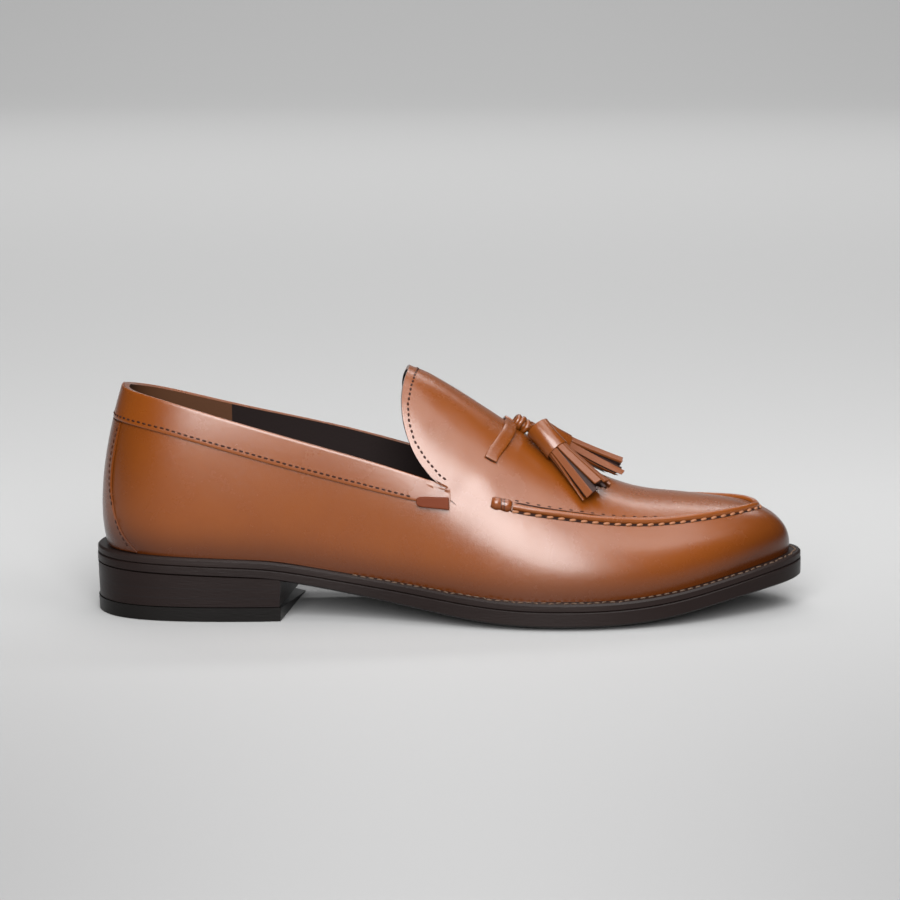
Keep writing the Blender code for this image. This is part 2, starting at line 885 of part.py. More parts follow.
def build_wrap(name, side, finish):
    """The whipped end of the seam, on the upper just behind the roll."""
    steps = 6

    def along_seam(turn):
        return on_section(side * turn, seam_height[side](turn))[0]

    ahead = along_seam(ROLL_START) - 1.5 * GAP
    centres, normals = [], []
    for step in range(steps + 1):
        x = ahead - WRAP_LENGTH * (1 - step / steps)
        turn = bisected(along_seam, x, 0.45, 0.65)
        height = seam_height[side](turn)
        centres.append(on_section(side * turn, height))
        normals.append(last_normal(side * turn, height))
    run = unit(centres[-1] - centres[0])
    sides = [unit(np.cross(up, run)) for up in normals]
    points, columns = [], 8
    for step, (centre, across, up) in enumerate(zip(centres, sides, normals)):
        end = 0.72 if step in (0, steps) else 1.0
        waist = 0.82 if step == 3 else 1.0
        for column in range(columns):
            angle = math.pi * column / (columns - 1)
            shift = math.cos(angle) * WRAP_WIDTH / 2 * end * waist
            lift = GAP + math.sin(angle) * WRAP_HEIGHT * end * waist
            points.append(centre + across * shift + up * lift)
    faces = ring_walls(steps + 1, columns)
    faces.append(tuple(range(columns)))
    faces.append(tuple(steps * columns + column for column in range(columns)))
    return new_object(name, points, faces, finish)


def fine_vamp():
    """Ray-castable outer face of the vamp, for what lies on it."""
    points, faces = [], []
    reach = 1 - PEAK
    stations = [-1 + step / 120 * reach for step in range(121)]
    stations += [PEAK + step / 120 * reach for step in range(121)]
    rows = 40
    for station in stations:
        points += [Vector(on_section(station, row / rows)) for row in range(rows + 1)]
    for column in range(len(stations) - 1):
        if column == 120:
            continue
        for row in range(rows):
            a = column * (rows + 1) + row
            faces.append((a, a + rows + 1, a + rows + 2, a + 1))
    return BVHTree.FromPolygons(points, faces)


def vamp_under(tree, x, y):
    """The vamp's point straight below a plan point, and its normal."""
    place, normal, _, _ = tree.ray_cast(Vector((x, y, INSTEP_HEIGHT * 1.5)), Vector((0, 0, -1)))
    normal = np.array(normal)
    return np.array(place), normal if normal[2] > 0 else -normal


# Laces on the vamp. Columns: along as a share of SOLE_LENGTH, distance from the ridge on the
# lateral and on the medial side as shares of BALL_WIDTH, height above the vamp as a share of
# KNOT_RADIUS.
LACE_ROUTE = (
    (0.5557, 0.274, 0.225, 0.00),
    (0.5620, 0.242, 0.203, 0.00),
    (0.5705, 0.200, 0.170, 0.10),
    (0.5800, 0.125, 0.115, 0.35),
    (0.5835, 0.030, 0.030, 0.25),
)
KNOT_ALONG = 0.597


def build_strap(name, side, tree, finish):
    along = natural_spline([(i, *row) for i, row in enumerate(LACE_ROUTE)], 1)
    across = natural_spline([(i, *row) for i, row in enumerate(LACE_ROUTE)], 2 if side < 0 else 3)
    above = level_spline([(i, *row) for i, row in enumerate(LACE_ROUTE)], 4)
    centres, normals = [], []
    for at in np.linspace(0, len(LACE_ROUTE) - 1, 9):
        x = (along(at) - 0.5) * SOLE_LENGTH
        y = ridge_middle(x) + side * across(at) * BALL_WIDTH
        centre, normal = vamp_under(tree, x, y)
        centres.append(centre + normal * above(at) * KNOT_RADIUS)
        normals.append(normal)
    sides = []
    for i, up in enumerate(normals):
        ahead = centres[min(i + 1, len(centres) - 1)] - centres[max(i - 1, 0)]
        sides.append(unit(np.cross(up, ahead)))
    half = STRAP_WIDTH / 2
    low, high = GAP, GAP + STRAP_THICKNESS
    section = [(-half, low), (-half, high), (half, high), (half, low)]
    return sweep(name, centres, sides, normals, section, finish)


def ridge_middle(x):
    """Distance of the ridge from the shoe's middle plane, above a place along it."""
    turn = bisected(lambda at: crest_point(at)[0], x, PEAK, 1.0)
    return crest_point(turn)[1]


def turned(name, rings, finish, columns=12):
    """A body of round sections. Rings hold (centre, direction, radius)."""
    points = []
    for centre, axis, radius in rings:
        side = unit(np.cross(axis, np.array([0.0, 0.0, 1.0])))
        up = unit(np.cross(side, axis))
        for column in range(columns):
            angle = 2 * math.pi * column / columns
            points.append(centre + (side * math.cos(angle) + up * math.sin(angle)) * radius)
    faces = ring_walls(len(rings), columns)
    faces.append(tuple(range(columns)))
    last = (len(rings) - 1) * columns
    faces.append(tuple(last + column for column in range(columns)))
    return new_object(name, points, faces, finish)


def knot_centre(tree):
    x = (KNOT_ALONG - 0.5) * SOLE_LENGTH
    ground, normal = vamp_under(tree, x, ridge_middle(x))
    return ground + normal * (KNOT_RADIUS * 1.14 + GAP), normal


def build_knot(tree, finish):
    """Turns of lace round a short bar along the ridge."""
    centre, normal = knot_centre(tree)
    axis = unit(np.cross(np.array([0.0, 1.0, 0.0]), normal))
    half = KNOT_LENGTH / 2
    rings = []
    for share, bulge in (
        (-1.00, 0.55),
        (-0.85, 0.92),
        (-0.55, 1.08),
        (-0.30, 0.80),
        (0.00, 1.00),
        (0.30, 0.80),
        (0.55, 1.08),
        (0.85, 0.92),
        (1.00, 0.55),
    ):
        rings.append((centre + axis * share * half, axis, KNOT_RADIUS * bulge))
    turned("knot", rings, finish)
    return centre + axis * half


# Tassels. Columns: name, place of the cap's top ahead of the knot's end, towards the medial side
# and above it, as shares of CAP_RADIUS, then its heading from the toe's direction towards the
# medial side and its fall below level, in degrees.
TASSELS = (
    ("near", 0.40, -1.65, 0.22, -36.0, 41.0),
    ("far", 0.60, 1.20, -0.20, 16.0, 30.0),
)


def tassel_axis(heading, fall):
    heading, fall = math.radians(heading), math.radians(fall)
    return np.array(
        [
            math.cos(heading) * math.cos(fall),
            math.sin(heading) * math.cos(fall),
            -math.sin(fall),
        ]
    )


def rested(tree, start, axis):
    """The cap's top, raised until the cap clears the vamp."""
    side = unit(np.cross(axis, np.array([0.0, 0.0, 1.0])))
    up = unit(np.cross(side, axis))
    need = 0.0
    for along in (0.0, 0.5, 1.0):
        for step in range(13):
            angle = math.pi + math.pi * step / 12
            around = side * math.cos(angle) + up * math.sin(angle)
            low = start + axis * along * CAP_LENGTH + around * CAP_RADIUS
            need = max(need, vamp_under(tree, low[0], low[1])[0][2] + GAP - low[2])
    return start + np.array([0.0, 0.0, need])


def build_cap(name, root, start, axis, finish):
    """A rolled cap with the short cord that carries it from the knot."""
    cord = unit(start - root)
    rings = (
        (root + cord * 2 * GAP, cord, CORD_RADIUS * 0.8),
        ((root + start) / 2, cord, CORD_RADIUS),
        (start - axis * 0.0004, axis, CORD_RADIUS),
        (start, axis, CAP_RADIUS * 0.80),
        (start + axis * 0.0012, axis, CAP_RADIUS),
        (start + axis * CAP_LENGTH * 0.5, axis, CAP_RADIUS * 0.94),
        (start + axis * (CAP_LENGTH - 0.0006), axis, CAP_RADIUS * 0.92),
        (start + axis * CAP_LENGTH, axis, CAP_RADIUS * 0.84),
    )
    return turned(name, rings, finish, columns=14)


def strip_points(tree, start, axis, angle, length, spread, layer):
    """Corners of one strip of the fringe, kept above the vamp."""
    side = unit(np.cross(axis, np.array([0.0, 0.0, 1.0])))
    up = unit(np.cross(side, axis))
    away = side * math.cos(angle) + up * math.sin(angle)
    round_way = unit(np.cross(axis, away))
    points = []
    steps = 4
    for step in range(steps + 1):
        share = step / steps
        radius = CAP_RADIUS * (0.62 - 0.2 * layer) + spread * share**1.4
        centre = start + axis * (length * share - 0.001) + away * radius
        under = vamp_under(tree, centre[0], centre[1])[0][2] + GAP + 0.0012
        need = max(0.0, under + STRIP_THICKNESS + layer * 0.0012 - centre[2])
        centre = centre + np.array([0.0, 0.0, need])
        half = STRIP_WIDTH / 2 * (0.88 + 0.12 * share)
        thick = STRIP_THICKNESS / 2
        for across, lift in ((-1, -1), (1, -1), (1, 1), (-1, 1)):
            points.append(centre + round_way * across * half + away * lift * thick)
    faces = ring_walls(steps + 1, 4)
    faces.append((0, 1, 2, 3))
    last = steps * 4
    faces.append((last, last + 1, last + 2, last + 3))
    return points, faces


def build_fringe(name, tree, start, axis, finish):
    """Strips fused to a short core below the cap."""
    begin = start + axis * (CAP_LENGTH + GAP)
    rings = (
        (begin, axis, CAP_RADIUS * 0.86),
        (begin + axis * 0.0025, axis, CAP_RADIUS * 0.84),
        (begin + axis * FRINGE_LENGTH * 0.45, axis, CAP_RADIUS * 0.42),
    )
    core = turned(name, rings, finish, columns=14)
    count = 10
    strips, faces = [], []
    for number in range(count):
        angle = 2 * math.pi * (number + 0.5) / count
        length = FRINGE_LENGTH * (0.94 + 0.06 * math.cos(2.4 * number))
        spread = 0.0042 + 0.0008 * math.sin(1.7 * number)
        corners, walls = strip_points(tree, begin + axis * 0.0016, axis, angle, length, spread, 0)
        faces += [[corner + len(strips) for corner in wall] for wall in walls]
        strips += corners
    cutter = new_object(name + "_strips", strips, faces, finish)
    cutter.hide_render = True
    cutter.display_type = "WIRE"
    union = core.modifiers.new("strips", "BOOLEAN")
    union.operation = "UNION"
    union.solver = "EXACT"
    union.use_self = True
    union.object = cutter
    return core


def build():
    for existing in list(bpy.data.objects):
        bpy.data.objects.remove(existing, do_unlink=True)
    leather = material("leather", (0.33, 0.10, 0.035), 0.38)
    trim = material("trim_leather", (0.27, 0.075, 0.025), 0.4)
    tassel = material("tassel_leather", (0.24, 0.065, 0.022), 0.42)
    sole = material("sole_edge", (0.028, 0.018, 0.016), 0.4)
    rubber = material("rubber", (0.02, 0.018, 0.017), 0.6)
    footbed = material("footbed", (0.16, 0.07, 0.03), 0.6)
    build_outsole(sole)
    build_welt(sole)
    build_heel(sole, rubber)
    build_insole(footbed)
    build_upper(leather)
    build_backstay(leather)
    build_band(trim)
    build_roll(leather)
    tree = fine_vamp()
    for side, word in ((-1, "lateral"), (1, "medial")):
        build_tab("tab_" + word, side, trim)
        build_wrap("roll_wrap_" + word, side, trim)
        build_strap("strap_" + word, side, tree, trim)
    end = build_knot(tree, trim)
    for word, ahead, across, above, heading, fall in TASSELS:
        axis = tassel_axis(heading, fall)
        start = rested(tree, end + np.array([ahead, across, above]) * CAP_RADIUS, axis)
        root = end + np.array([0.0, math.copysign(CORD_RADIUS, across) * 1.2, 0.0])
        build_cap("tassel_cap_" + word, root, start, axis, tassel)
        build_fringe("tassel_fringe_" + word, tree, start, axis, tassel)


build()
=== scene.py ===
import json
import math

import bmesh
import bpy
import numpy as np
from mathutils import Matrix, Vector
from mathutils.bvhtree import BVHTree

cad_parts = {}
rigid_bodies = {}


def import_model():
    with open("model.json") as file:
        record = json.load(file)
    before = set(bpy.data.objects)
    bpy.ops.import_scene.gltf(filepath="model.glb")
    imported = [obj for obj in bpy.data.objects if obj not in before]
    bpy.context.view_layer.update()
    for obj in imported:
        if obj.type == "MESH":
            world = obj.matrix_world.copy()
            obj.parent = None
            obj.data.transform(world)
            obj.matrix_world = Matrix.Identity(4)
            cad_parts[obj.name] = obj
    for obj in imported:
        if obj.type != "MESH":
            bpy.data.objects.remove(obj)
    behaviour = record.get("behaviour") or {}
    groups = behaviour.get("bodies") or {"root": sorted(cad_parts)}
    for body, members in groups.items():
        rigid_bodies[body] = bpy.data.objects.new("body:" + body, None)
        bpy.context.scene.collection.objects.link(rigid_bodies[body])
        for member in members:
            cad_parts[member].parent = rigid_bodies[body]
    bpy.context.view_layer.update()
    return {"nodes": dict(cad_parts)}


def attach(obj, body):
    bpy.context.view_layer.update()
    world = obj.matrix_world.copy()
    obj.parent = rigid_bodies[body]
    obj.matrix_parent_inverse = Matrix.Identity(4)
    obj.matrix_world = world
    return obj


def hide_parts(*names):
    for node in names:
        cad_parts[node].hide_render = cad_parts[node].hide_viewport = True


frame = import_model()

# Outsole. One long sole of dark leather composition, cut to the outline of the last, curved up at
# the waist and the toe. Its edge is trimmed, inked dark brown and waxed.


def fair_copy(node, name, levels=2, corner=35.0, bevel=0.0):
    """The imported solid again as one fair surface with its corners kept."""
    bpy.ops.object.select_all(action="DESELECT")
    mesh = frame["nodes"][node].data.copy()
    mesh.name = name
    piece = bpy.data.objects.new(name, mesh)
    bpy.context.scene.collection.objects.link(piece)
    piece.select_set(True)
    bpy.context.view_layer.objects.active = piece
    mesh.materials.clear()
    bpy.ops.object.mode_set(mode="EDIT")
    bpy.ops.mesh.select_all(action="SELECT")
    bpy.ops.mesh.customdata_custom_splitnormals_clear()
    bpy.ops.mesh.remove_doubles(threshold=0.00001)
    bpy.ops.mesh.tris_convert_to_quads(face_threshold=0.7, shape_threshold=1.2)
    bpy.ops.mesh.select_all(action="DESELECT")
    bpy.ops.mesh.select_mode(type="EDGE")
    bpy.ops.mesh.edges_select_sharp(sharpness=math.radians(corner))
    bpy.ops.transform.edge_crease(value=1.0)
    bpy.ops.mesh.select_all(action="DESELECT")
    bpy.ops.object.mode_set(mode="OBJECT")
    if bevel:
        soft = piece.modifiers.new("rounded edges", "BEVEL")
        soft.width = bevel
        soft.segments = 2
        soft.limit_method = "ANGLE"
        soft.angle_limit = math.radians(corner)
        bpy.ops.object.modifier_apply(modifier=soft.name)
    if levels:
        fair = piece.modifiers.new("fair surface", "SUBSURF")
        fair.levels = levels
        fair.render_levels = levels
        bpy.ops.object.modifier_apply(modifier=fair.name)
    bpy.ops.object.shade_smooth_by_angle(angle=math.radians(corner))
    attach(piece, "root")
    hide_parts(node)
    return piece


def new_finish(name):
    """An empty material with its Principled shader and its object coordinates."""
    made = bpy.data.materials.new(name)
    made.use_nodes = True
    nodes = made.node_tree.nodes
    place = nodes.new("ShaderNodeTexCoord")
    return made, nodes, made.node_tree.links, nodes["Principled BSDF"], place.outputs["Object"]


def between(nodes, links, share, first, second):
    """A colour that goes from the first to the second with a share from 0 to 1."""
    mix = nodes.new("ShaderNodeMix")
    mix.data_type = "RGBA"
    for socket, colour in (("A", first), ("B", second)):
        if isinstance(colour, tuple):
            mix.inputs[socket].default_value = (*colour, 1.0)
        else:
            links.new(colour, mix.inputs[socket])
    links.new(share, mix.inputs["Factor"])
    return mix.outputs["Result"]


def ranged(nodes, links, value, low, high, start=0.0, end=1.0):
    """A value from start to end turned into one from low to high."""
    ramp = nodes.new("ShaderNodeMapRange")
    ramp.inputs["From Min"].default_value = start
    ramp.inputs["From Max"].default_value = end
    ramp.inputs["To Min"].default_value = low
    ramp.inputs["To Max"].default_value = high
    links.new(value, ramp.inputs["Value"])
    return ramp.outputs["Result"]


def raised(nodes, links, shader, height, strength, distance):
    """Fine relief from a height."""
    bump = nodes.new("ShaderNodeBump")
    bump.inputs["Strength"].default_value = strength
    bump.inputs["Distance"].default_value = distance
    links.new(height, bump.inputs["Height"])
    links.new(bump.outputs["Normal"], shader.inputs["Normal"])


def wave_group():
    """Fine unevenness of a waxed or polished face: its height and where it is duller."""
    group = bpy.data.node_groups.new("waxed unevenness", "ShaderNodeTree")
    group.interface.new_socket("Place", in_out="INPUT", socket_type="NodeSocketVector")
    group.interface.new_socket("Fineness", in_out="INPUT", socket_type="NodeSocketFloat")
    group.interface.new_socket("Height", in_out="OUTPUT", socket_type="NodeSocketFloat")
    group.interface.new_socket("Dullness", in_out="OUTPUT", socket_type="NodeSocketFloat")
    nodes, links = group.nodes, group.links
    start, end = nodes.new("NodeGroupInput"), nodes.new("NodeGroupOutput")
    fine, broad = nodes.new("ShaderNodeTexNoise"), nodes.new("ShaderNodeTexNoise")
    fine.inputs["Detail"].default_value = 4.0
    broad.inputs["Scale"].default_value = 60.0
    broad.inputs["Detail"].default_value = 3.0
    links.new(start.outputs["Place"], fine.inputs["Vector"])
    links.new(start.outputs["Fineness"], fine.inputs["Scale"])
    links.new(start.outputs["Place"], broad.inputs["Vector"])
    links.new(fine.outputs["Fac"], end.inputs["Height"])
    links.new(broad.outputs["Fac"], end.inputs["Dullness"])
    return group


waxed_unevenness = wave_group()
GLUE_LINE = 0.00022
GLUE_COLOUR = (0.006, 0.004, 0.004)


def edge_finish(name, colour, lighter, lifts=()):
    """Inked and waxed sole edge. Lifts are heights at which layers of a heel meet."""
    made, nodes, links, shader, place = new_finish(name)
    uneven = nodes.new("ShaderNodeGroup")
    uneven.node_tree = waxed_unevenness
    uneven.inputs["Fineness"].default_value = 900.0
    stretch = nodes.new("ShaderNodeMapping")
    stretch.inputs["Scale"].default_value = (0.25, 0.25, 1.6)
    links.new(place, stretch.inputs["Vector"])
    links.new(stretch.outputs["Vector"], uneven.inputs["Place"])
    dull = uneven.outputs["Dullness"]
    shade = between(nodes, links, dull, colour, lighter)
    links.new(ranged(nodes, links, dull, 0.30, 0.50), shader.inputs["Roughness"])
    split = nodes.new("ShaderNodeSeparateXYZ")
    links.new(place, split.inputs["Vector"])
    for lift in lifts:
        away = nodes.new("ShaderNodeMath")
        away.operation = "COMPARE"
        away.inputs[1].default_value = lift
        away.inputs[2].default_value = GLUE_LINE
        links.new(split.outputs["Z"], away.inputs[0])
        shade = between(nodes, links, away.outputs["Value"], shade, GLUE_COLOUR)
    links.new(shade, shader.inputs["Base Color"])
    raised(nodes, links, shader, uneven.outputs["Height"], 0.25, 0.0003)
    shader.inputs["Specular IOR Level"].default_value = 0.15
    return made


outsole = fair_copy("outsole", "outsole_dark")
outsole.data.materials.append(
    edge_finish("inked edge", (0.0045, 0.0025, 0.0022), (0.0075, 0.0042, 0.0037))
)

# Stacked heel. Layers of leather board glued one on the other, trimmed with the sole and inked the
# same dark brown, so that only the thin lines between the layers still show.
heel = fair_copy("heel_stack", "heel_stack_inked")
HEEL_BREAST = -0.066
HEEL_CENTRE = Vector((-0.112, 0, 0))
BREAST_FADE = 0.014
SEAT_HEIGHT = 0.015
SEAT_RAISED = 0.0019
LIFT_LINES = (0.0098, 0.0139)


def flush(piece, by):
    """Brings the heel's back and sides out, level with the edge of the sole."""
    for vertex in piece.data.vertices:
        if vertex.co.x < HEEL_BREAST:
            out = Vector((vertex.co.x, vertex.co.y, 0)) - HEEL_CENTRE
            if out.length > 0.02:
                share = min(1.0, (HEEL_BREAST - vertex.co.x) / BREAST_FADE)
                vertex.co += out.normalized() * by * share


for vertex in heel.data.vertices:
    if vertex.co.z > SEAT_HEIGHT:
        vertex.co.z += SEAT_RAISED
flush(heel, 0.0005)
heel.data.materials.append(
    edge_finish("inked heel", (0.0045, 0.0024, 0.0021), (0.0072, 0.0040, 0.0036), LIFT_LINES)
)

# Top piece. A lift of hard black rubber that takes the wear. It is nailed and glued under the
# heel, and trimmed level with the layers above it.
top_piece = fair_copy("heel_top_piece", "heel_top_rubber")
flush(top_piece, 0.0010)
top_piece.data.materials.append(
    edge_finish("heel rubber", (0.0022, 0.0018, 0.0016), (0.0035, 0.0029, 0.0026))
)

# Welt. A strip of dark leather round the sole, sewn through to the outsole. From the waist to the
# toe its stitches lie in a row on top, lighter than the leather.
welt = fair_copy("welt", "welt_strip")
welt.data.materials.append(
    edge_finish("inked welt", (0.0056, 0.0032, 0.0028), (0.0100, 0.0058, 0.0050))
)
SOLE_MIDDLE = Vector((0.02, 0, 0))
BACK_OF_MIDDLE, FRONT_OF_MIDDLE = -0.10, 0.09
WELT_PITCH = 0.0035
WELT_STITCH = (0.0025, 0.0009, 0.0007)
WELT_ROW_INSET = 0.0015
WELT_ROW_FROM = -0.060
ABOVE = 0.08
DOWN = Vector((0, 0, -1))


def grown(piece, by):
    """Grows a piece evenly, so that it touches the one it is glued to."""
    bpy.ops.object.select_all(action="DESELECT")
    piece.select_set(True)
    bpy.context.view_layer.objects.active = piece
    bpy.ops.object.mode_set(mode="EDIT")
    bpy.ops.mesh.select_all(action="SELECT")
    bpy.ops.transform.shrink_fatten(value=by)
    bpy.ops.object.mode_set(mode="OBJECT")


grown(welt, 0.00018)


def tree_of(*pieces):
    """Ray-castable faces of finished pieces."""
    points, faces = [], []
    for piece in pieces:
        start = len(points)
        points += [vertex.co.copy() for vertex in piece.data.vertices]
        faces += [tuple(i + start for i in face.vertices) for face in piece.data.polygons]
    return BVHTree.FromPolygons(points, faces)


def thread_stitch(length, width, height):
    """One stitch of thread: a capsule along X, a little sunk at both ends."""
    bpy.ops.object.select_all(action="DESELECT")
    bpy.ops.mesh.primitive_uv_sphere_add(
        segments=8, ring_count=6, radius=0.5, rotation=(0, math.pi / 2, 0)
    )
    stitch = bpy.context.object
    bpy.ops.object.transform_apply(location=True, rotation=True, scale=True)
    for vertex in stitch.data.vertices:
        x, y, z = vertex.co
        full = math.copysign(abs(2 * x) ** 0.6, x) / 2
        vertex.co = (full * length, y * width, z * height - abs(x) ** 2 * height * 0.8)
    return stitch


def even_places(points, pitch):
    """Places a pitch apart along a line of points, each with its direction."""
    points = [Vector(p) for p in points]
    run = [0.0]
    for a, b in zip(points, points[1:]):
        run.append(run[-1] + (b - a).length)
    count = max(2, int(run[-1] / pitch))
    places = []
    for number in range(count):
        at = (number + 0.5) * run[-1] / count
        i = max(k for k in range(len(run) - 1) if run[k] <= at)
        share = (at - run[i]) / (run[i + 1] - run[i])
        ahead = (points[i + 1] - points[i]).normalized()
        places.append((points[i].lerp(points[i + 1], share), ahead))
    return places


def from_middle(point):
    """The way out from the shoe's middle line to a point, level."""
    middle = min(max(point.x, BACK_OF_MIDDLE), FRONT_OF_MIDDLE)
    return Vector((point.x - middle, point.y, 0)).normalized()


def sewn_row(name, tree, lines, pitch, size, lift, finish, slant=0.0, from_side=False):
    """A row of stitches laid on a face along lines of points, as one piece. From the side means
    that each finds its place by looking in at the shoe."""
    stitch = thread_stitch(*size)
    base = [vertex.co.copy() for vertex in stitch.data.vertices]
    walls = [tuple(face.vertices) for face in stitch.data.polygons]
    bpy.data.objects.remove(stitch)
    points, faces = [], []
    for line in lines:
        for place, ahead in even_places(line, pitch):
            spot, up, _, _ = tree.find_nearest(place)
            if from_side:
                away = from_middle(place)
                spot, up, _, _ = tree.ray_cast(place + away * 0.02, -away)
            if spot is None:
                continue
            across = up.cross(ahead).normalized()
            ahead = across.cross(up).normalized()
            ahead = (ahead + across * slant).normalized()
            across = up.cross(ahead)
            start = len(points)
            for x, y, z in base:
                points.append(spot + ahead * x + across * y + up * (z + lift))
            faces += [tuple(i + start for i in wall) for wall in walls]
    mesh = bpy.data.meshes.new(name)
    mesh.from_pydata(points, [], faces)
    mesh.shade_smooth()
    mesh.materials.append(finish)
    row = bpy.data.objects.new(name, mesh)
    bpy.context.scene.collection.objects.link(row)
    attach(row, "root")
    return row


def thread_finish(name, colour, roughness=0.6):
    """Waxed linen thread, mottled by its twist."""
    made, nodes, links, shader, place = new_finish(name)
    twist = nodes.new("ShaderNodeTexNoise")
    twist.inputs["Scale"].default_value = 2500.0
    links.new(place, twist.inputs["Vector"])
    dark, light = tuple(c * 0.75 for c in colour), tuple(c * 1.25 for c in colour)
    links.new(between(nodes, links, twist.outputs["Fac"], dark, light), shader.inputs["Base Color"])
    shader.inputs["Roughness"].default_value = roughness
    shader.inputs["Specular IOR Level"].default_value = 0.12
    return made


welt_line = []
welt_tree = tree_of(welt)
for step in range(181):
    angle = math.radians(-176 + step * 352 / 180)
    far = SOLE_MIDDLE + Vector((math.cos(angle), math.sin(angle), 0)) * 0.3
    near = SOLE_MIDDLE if abs(far.x) < 0.25 else Vector((far.x * 0.3, 0, 0))
    edge = None
    for share in range(120):
        plan = far.lerp(near, share / 119)
        spot, up, _, _ = welt_tree.ray_cast(Vector((plan.x, plan.y, ABOVE)), DOWN)
        if spot is not None:
            edge = plan
            break
    if edge is None:
        continue
    plan = edge + (SOLE_MIDDLE - edge).normalized() * WELT_ROW_INSET
    spot, up, _, _ = welt_tree.ray_cast(Vector((plan.x, plan.y, ABOVE)), DOWN)
    if spot is not None and up.z > 0.7 and spot.x > WELT_ROW_FROM:
        welt_line.append(spot)
welt_thread = thread_finish("welt thread", (0.055, 0.0340, 0.0230))
sewn_row(
    "welt_stitches", welt_tree, [welt_line], WELT_PITCH, WELT_STITCH, 0.0001, welt_thread
)

# Insole. A board inside the welt that the upper is pulled round. A leather sock is glued on it,
# dark brown and matt from the tanning.
insole = fair_copy("insole", "insole_sock")


def sock_finish():
    """Matt vegetable-tanned leather."""
    made, nodes, links, shader, place = new_finish("sock leather")
    uneven = nodes.new("ShaderNodeGroup")
    uneven.node_tree = waxed_unevenness
    uneven.inputs["Fineness"].default_value = 1500.0
    links.new(place, uneven.inputs["Place"])
    dark, light = (0.021, 0.0099, 0.0046), (0.032, 0.0160, 0.0077)
    shade = between(nodes, links, uneven.outputs["Dullness"], dark, light)
    links.new(shade, shader.inputs["Base Color"])
    shader.inputs["Roughness"].default_value = 0.6
    raised(nodes, links, shader, uneven.outputs["Height"], 0.3, 0.0002)
    return made


insole.data.materials.append(sock_finish())

# Upper. Calfskin in one tan colour, lasted over the foot's form and pulled under to the welt, with
# a dark leather lining inside. It is burnished darker at the toe, the heel and along the welt.
MIDDLE_HEIGHT = 0.035
LINING_FROM = -0.094
TAN = (0.112, 0.0275, 0.0022)
DEEP_TAN = (0.076, 0.0140, 0.0012)


def calf_grain():
    """Pores and fine wrinkles of calfskin, and its soft changes of shade."""
    group = bpy.data.node_groups.new("calf grain", "ShaderNodeTree")
    group.interface.new_socket("Place", in_out="INPUT", socket_type="NodeSocketVector")
    group.interface.new_socket("Pore Scale", in_out="INPUT", socket_type="NodeSocketFloat")
    group.interface.new_socket("Height", in_out="OUTPUT", socket_type="NodeSocketFloat")
    group.interface.new_socket("Shade", in_out="OUTPUT", socket_type="NodeSocketFloat")
    nodes, links = group.nodes, group.links
    start, end = nodes.new("NodeGroupInput"), nodes.new("NodeGroupOutput")
    pores = nodes.new("ShaderNodeTexVoronoi")
    pores.feature = "DISTANCE_TO_EDGE"
    wrinkle, cloud = nodes.new("ShaderNodeTexNoise"), nodes.new("ShaderNodeTexNoise")
    wrinkle.inputs["Scale"].default_value = 420.0
    wrinkle.inputs["Detail"].default_value = 5.0
    cloud.inputs["Scale"].default_value = 38.0
    cloud.inputs["Detail"].default_value = 6.0
    cloud.inputs["Roughness"].default_value = 0.65
    links.new(start.outputs["Place"], pores.inputs["Vector"])
    links.new(start.outputs["Pore Scale"], pores.inputs["Scale"])
    links.new(start.outputs["Place"], wrinkle.inputs["Vector"])
    links.new(start.outputs["Place"], cloud.inputs["Vector"])
    dome = nodes.new("ShaderNodeMapRange")
    dome.inputs["From Max"].default_value = 0.25
    links.new(pores.outputs["Distance"], dome.inputs["Value"])
    total = nodes.new("ShaderNodeMath")
    total.operation = "MULTIPLY_ADD"
    total.inputs[1].default_value = 0.45
    links.new(dome.outputs["Result"], total.inputs[0])
    links.new(wrinkle.outputs["Fac"], total.inputs[2])
    links.new(total.outputs["Value"], end.inputs["Height"])
    links.new(cloud.outputs["Fac"], end.inputs["Shade"])
    return group


calf = calf_grain()


def calf_finish(name, colour, deep, burnish_and_painted_shade=False, roughness=(0.23, 0.31), coat=0.24):
    """Aniline calfskin, darker where the piece's note says: real burnish, and painted shade along the edges
    of sewn-on pieces and in grooves.
    """
    made, nodes, links, shader, place = new_finish(name)
    grain = nodes.new("ShaderNodeGroup")
    grain.node_tree = calf
    grain.inputs["Pore Scale"].default_value = 1900.0
    links.new(place, grain.inputs["Place"])
    clouds = grain.outputs["Shade"]
    shade = between(nodes, links, ranged(nodes, links, clouds, 0.0, 0.30, 0.3, 0.7), colour, deep)
    if burnish_and_painted_shade:
        # The note mixes real burnish with painted shade, both drawn in this one darker tone.
        darker = nodes.new("ShaderNodeAttribute")
        darker.attribute_name = "burnish_and_painted_shade"
        burnish_and_shade_tone = tuple(c * 0.30 for c in deep)
        shade = between(nodes, links, darker.outputs["Fac"], shade, burnish_and_shade_tone)
    links.new(shade, shader.inputs["Base Color"])
    links.new(ranged(nodes, links, clouds, *roughness), shader.inputs["Roughness"])
    raised(nodes, links, shader, grain.outputs["Height"], 0.20, 0.00020)
    shader.inputs["Specular IOR Level"].default_value = 0.32
    shader.inputs["Coat Weight"].default_value = coat
    shader.inputs["Coat Roughness"].default_value = 0.22
    return made


tan_calf = calf_finish("tan calf", TAN, DEEP_TAN, True)


def eased(value, start, end):
    """From 0 at the start to 1 at the end, with a soft step at both."""
    share = min(1.0, max(0.0, (value - start) / (end - start)))
    return share * share * (3 - 2 * share)


def burnish_and_shade_note(piece):
    """Where a piece keeps how dark it is, point by point: rubbed by the finisher, or painted shade along its
    edges and grooves.
    """
    noted = piece.data.attributes
    return (noted.get("burnish_and_painted_shade") or noted.new("burnish_and_painted_shade", "FLOAT", "POINT")).data


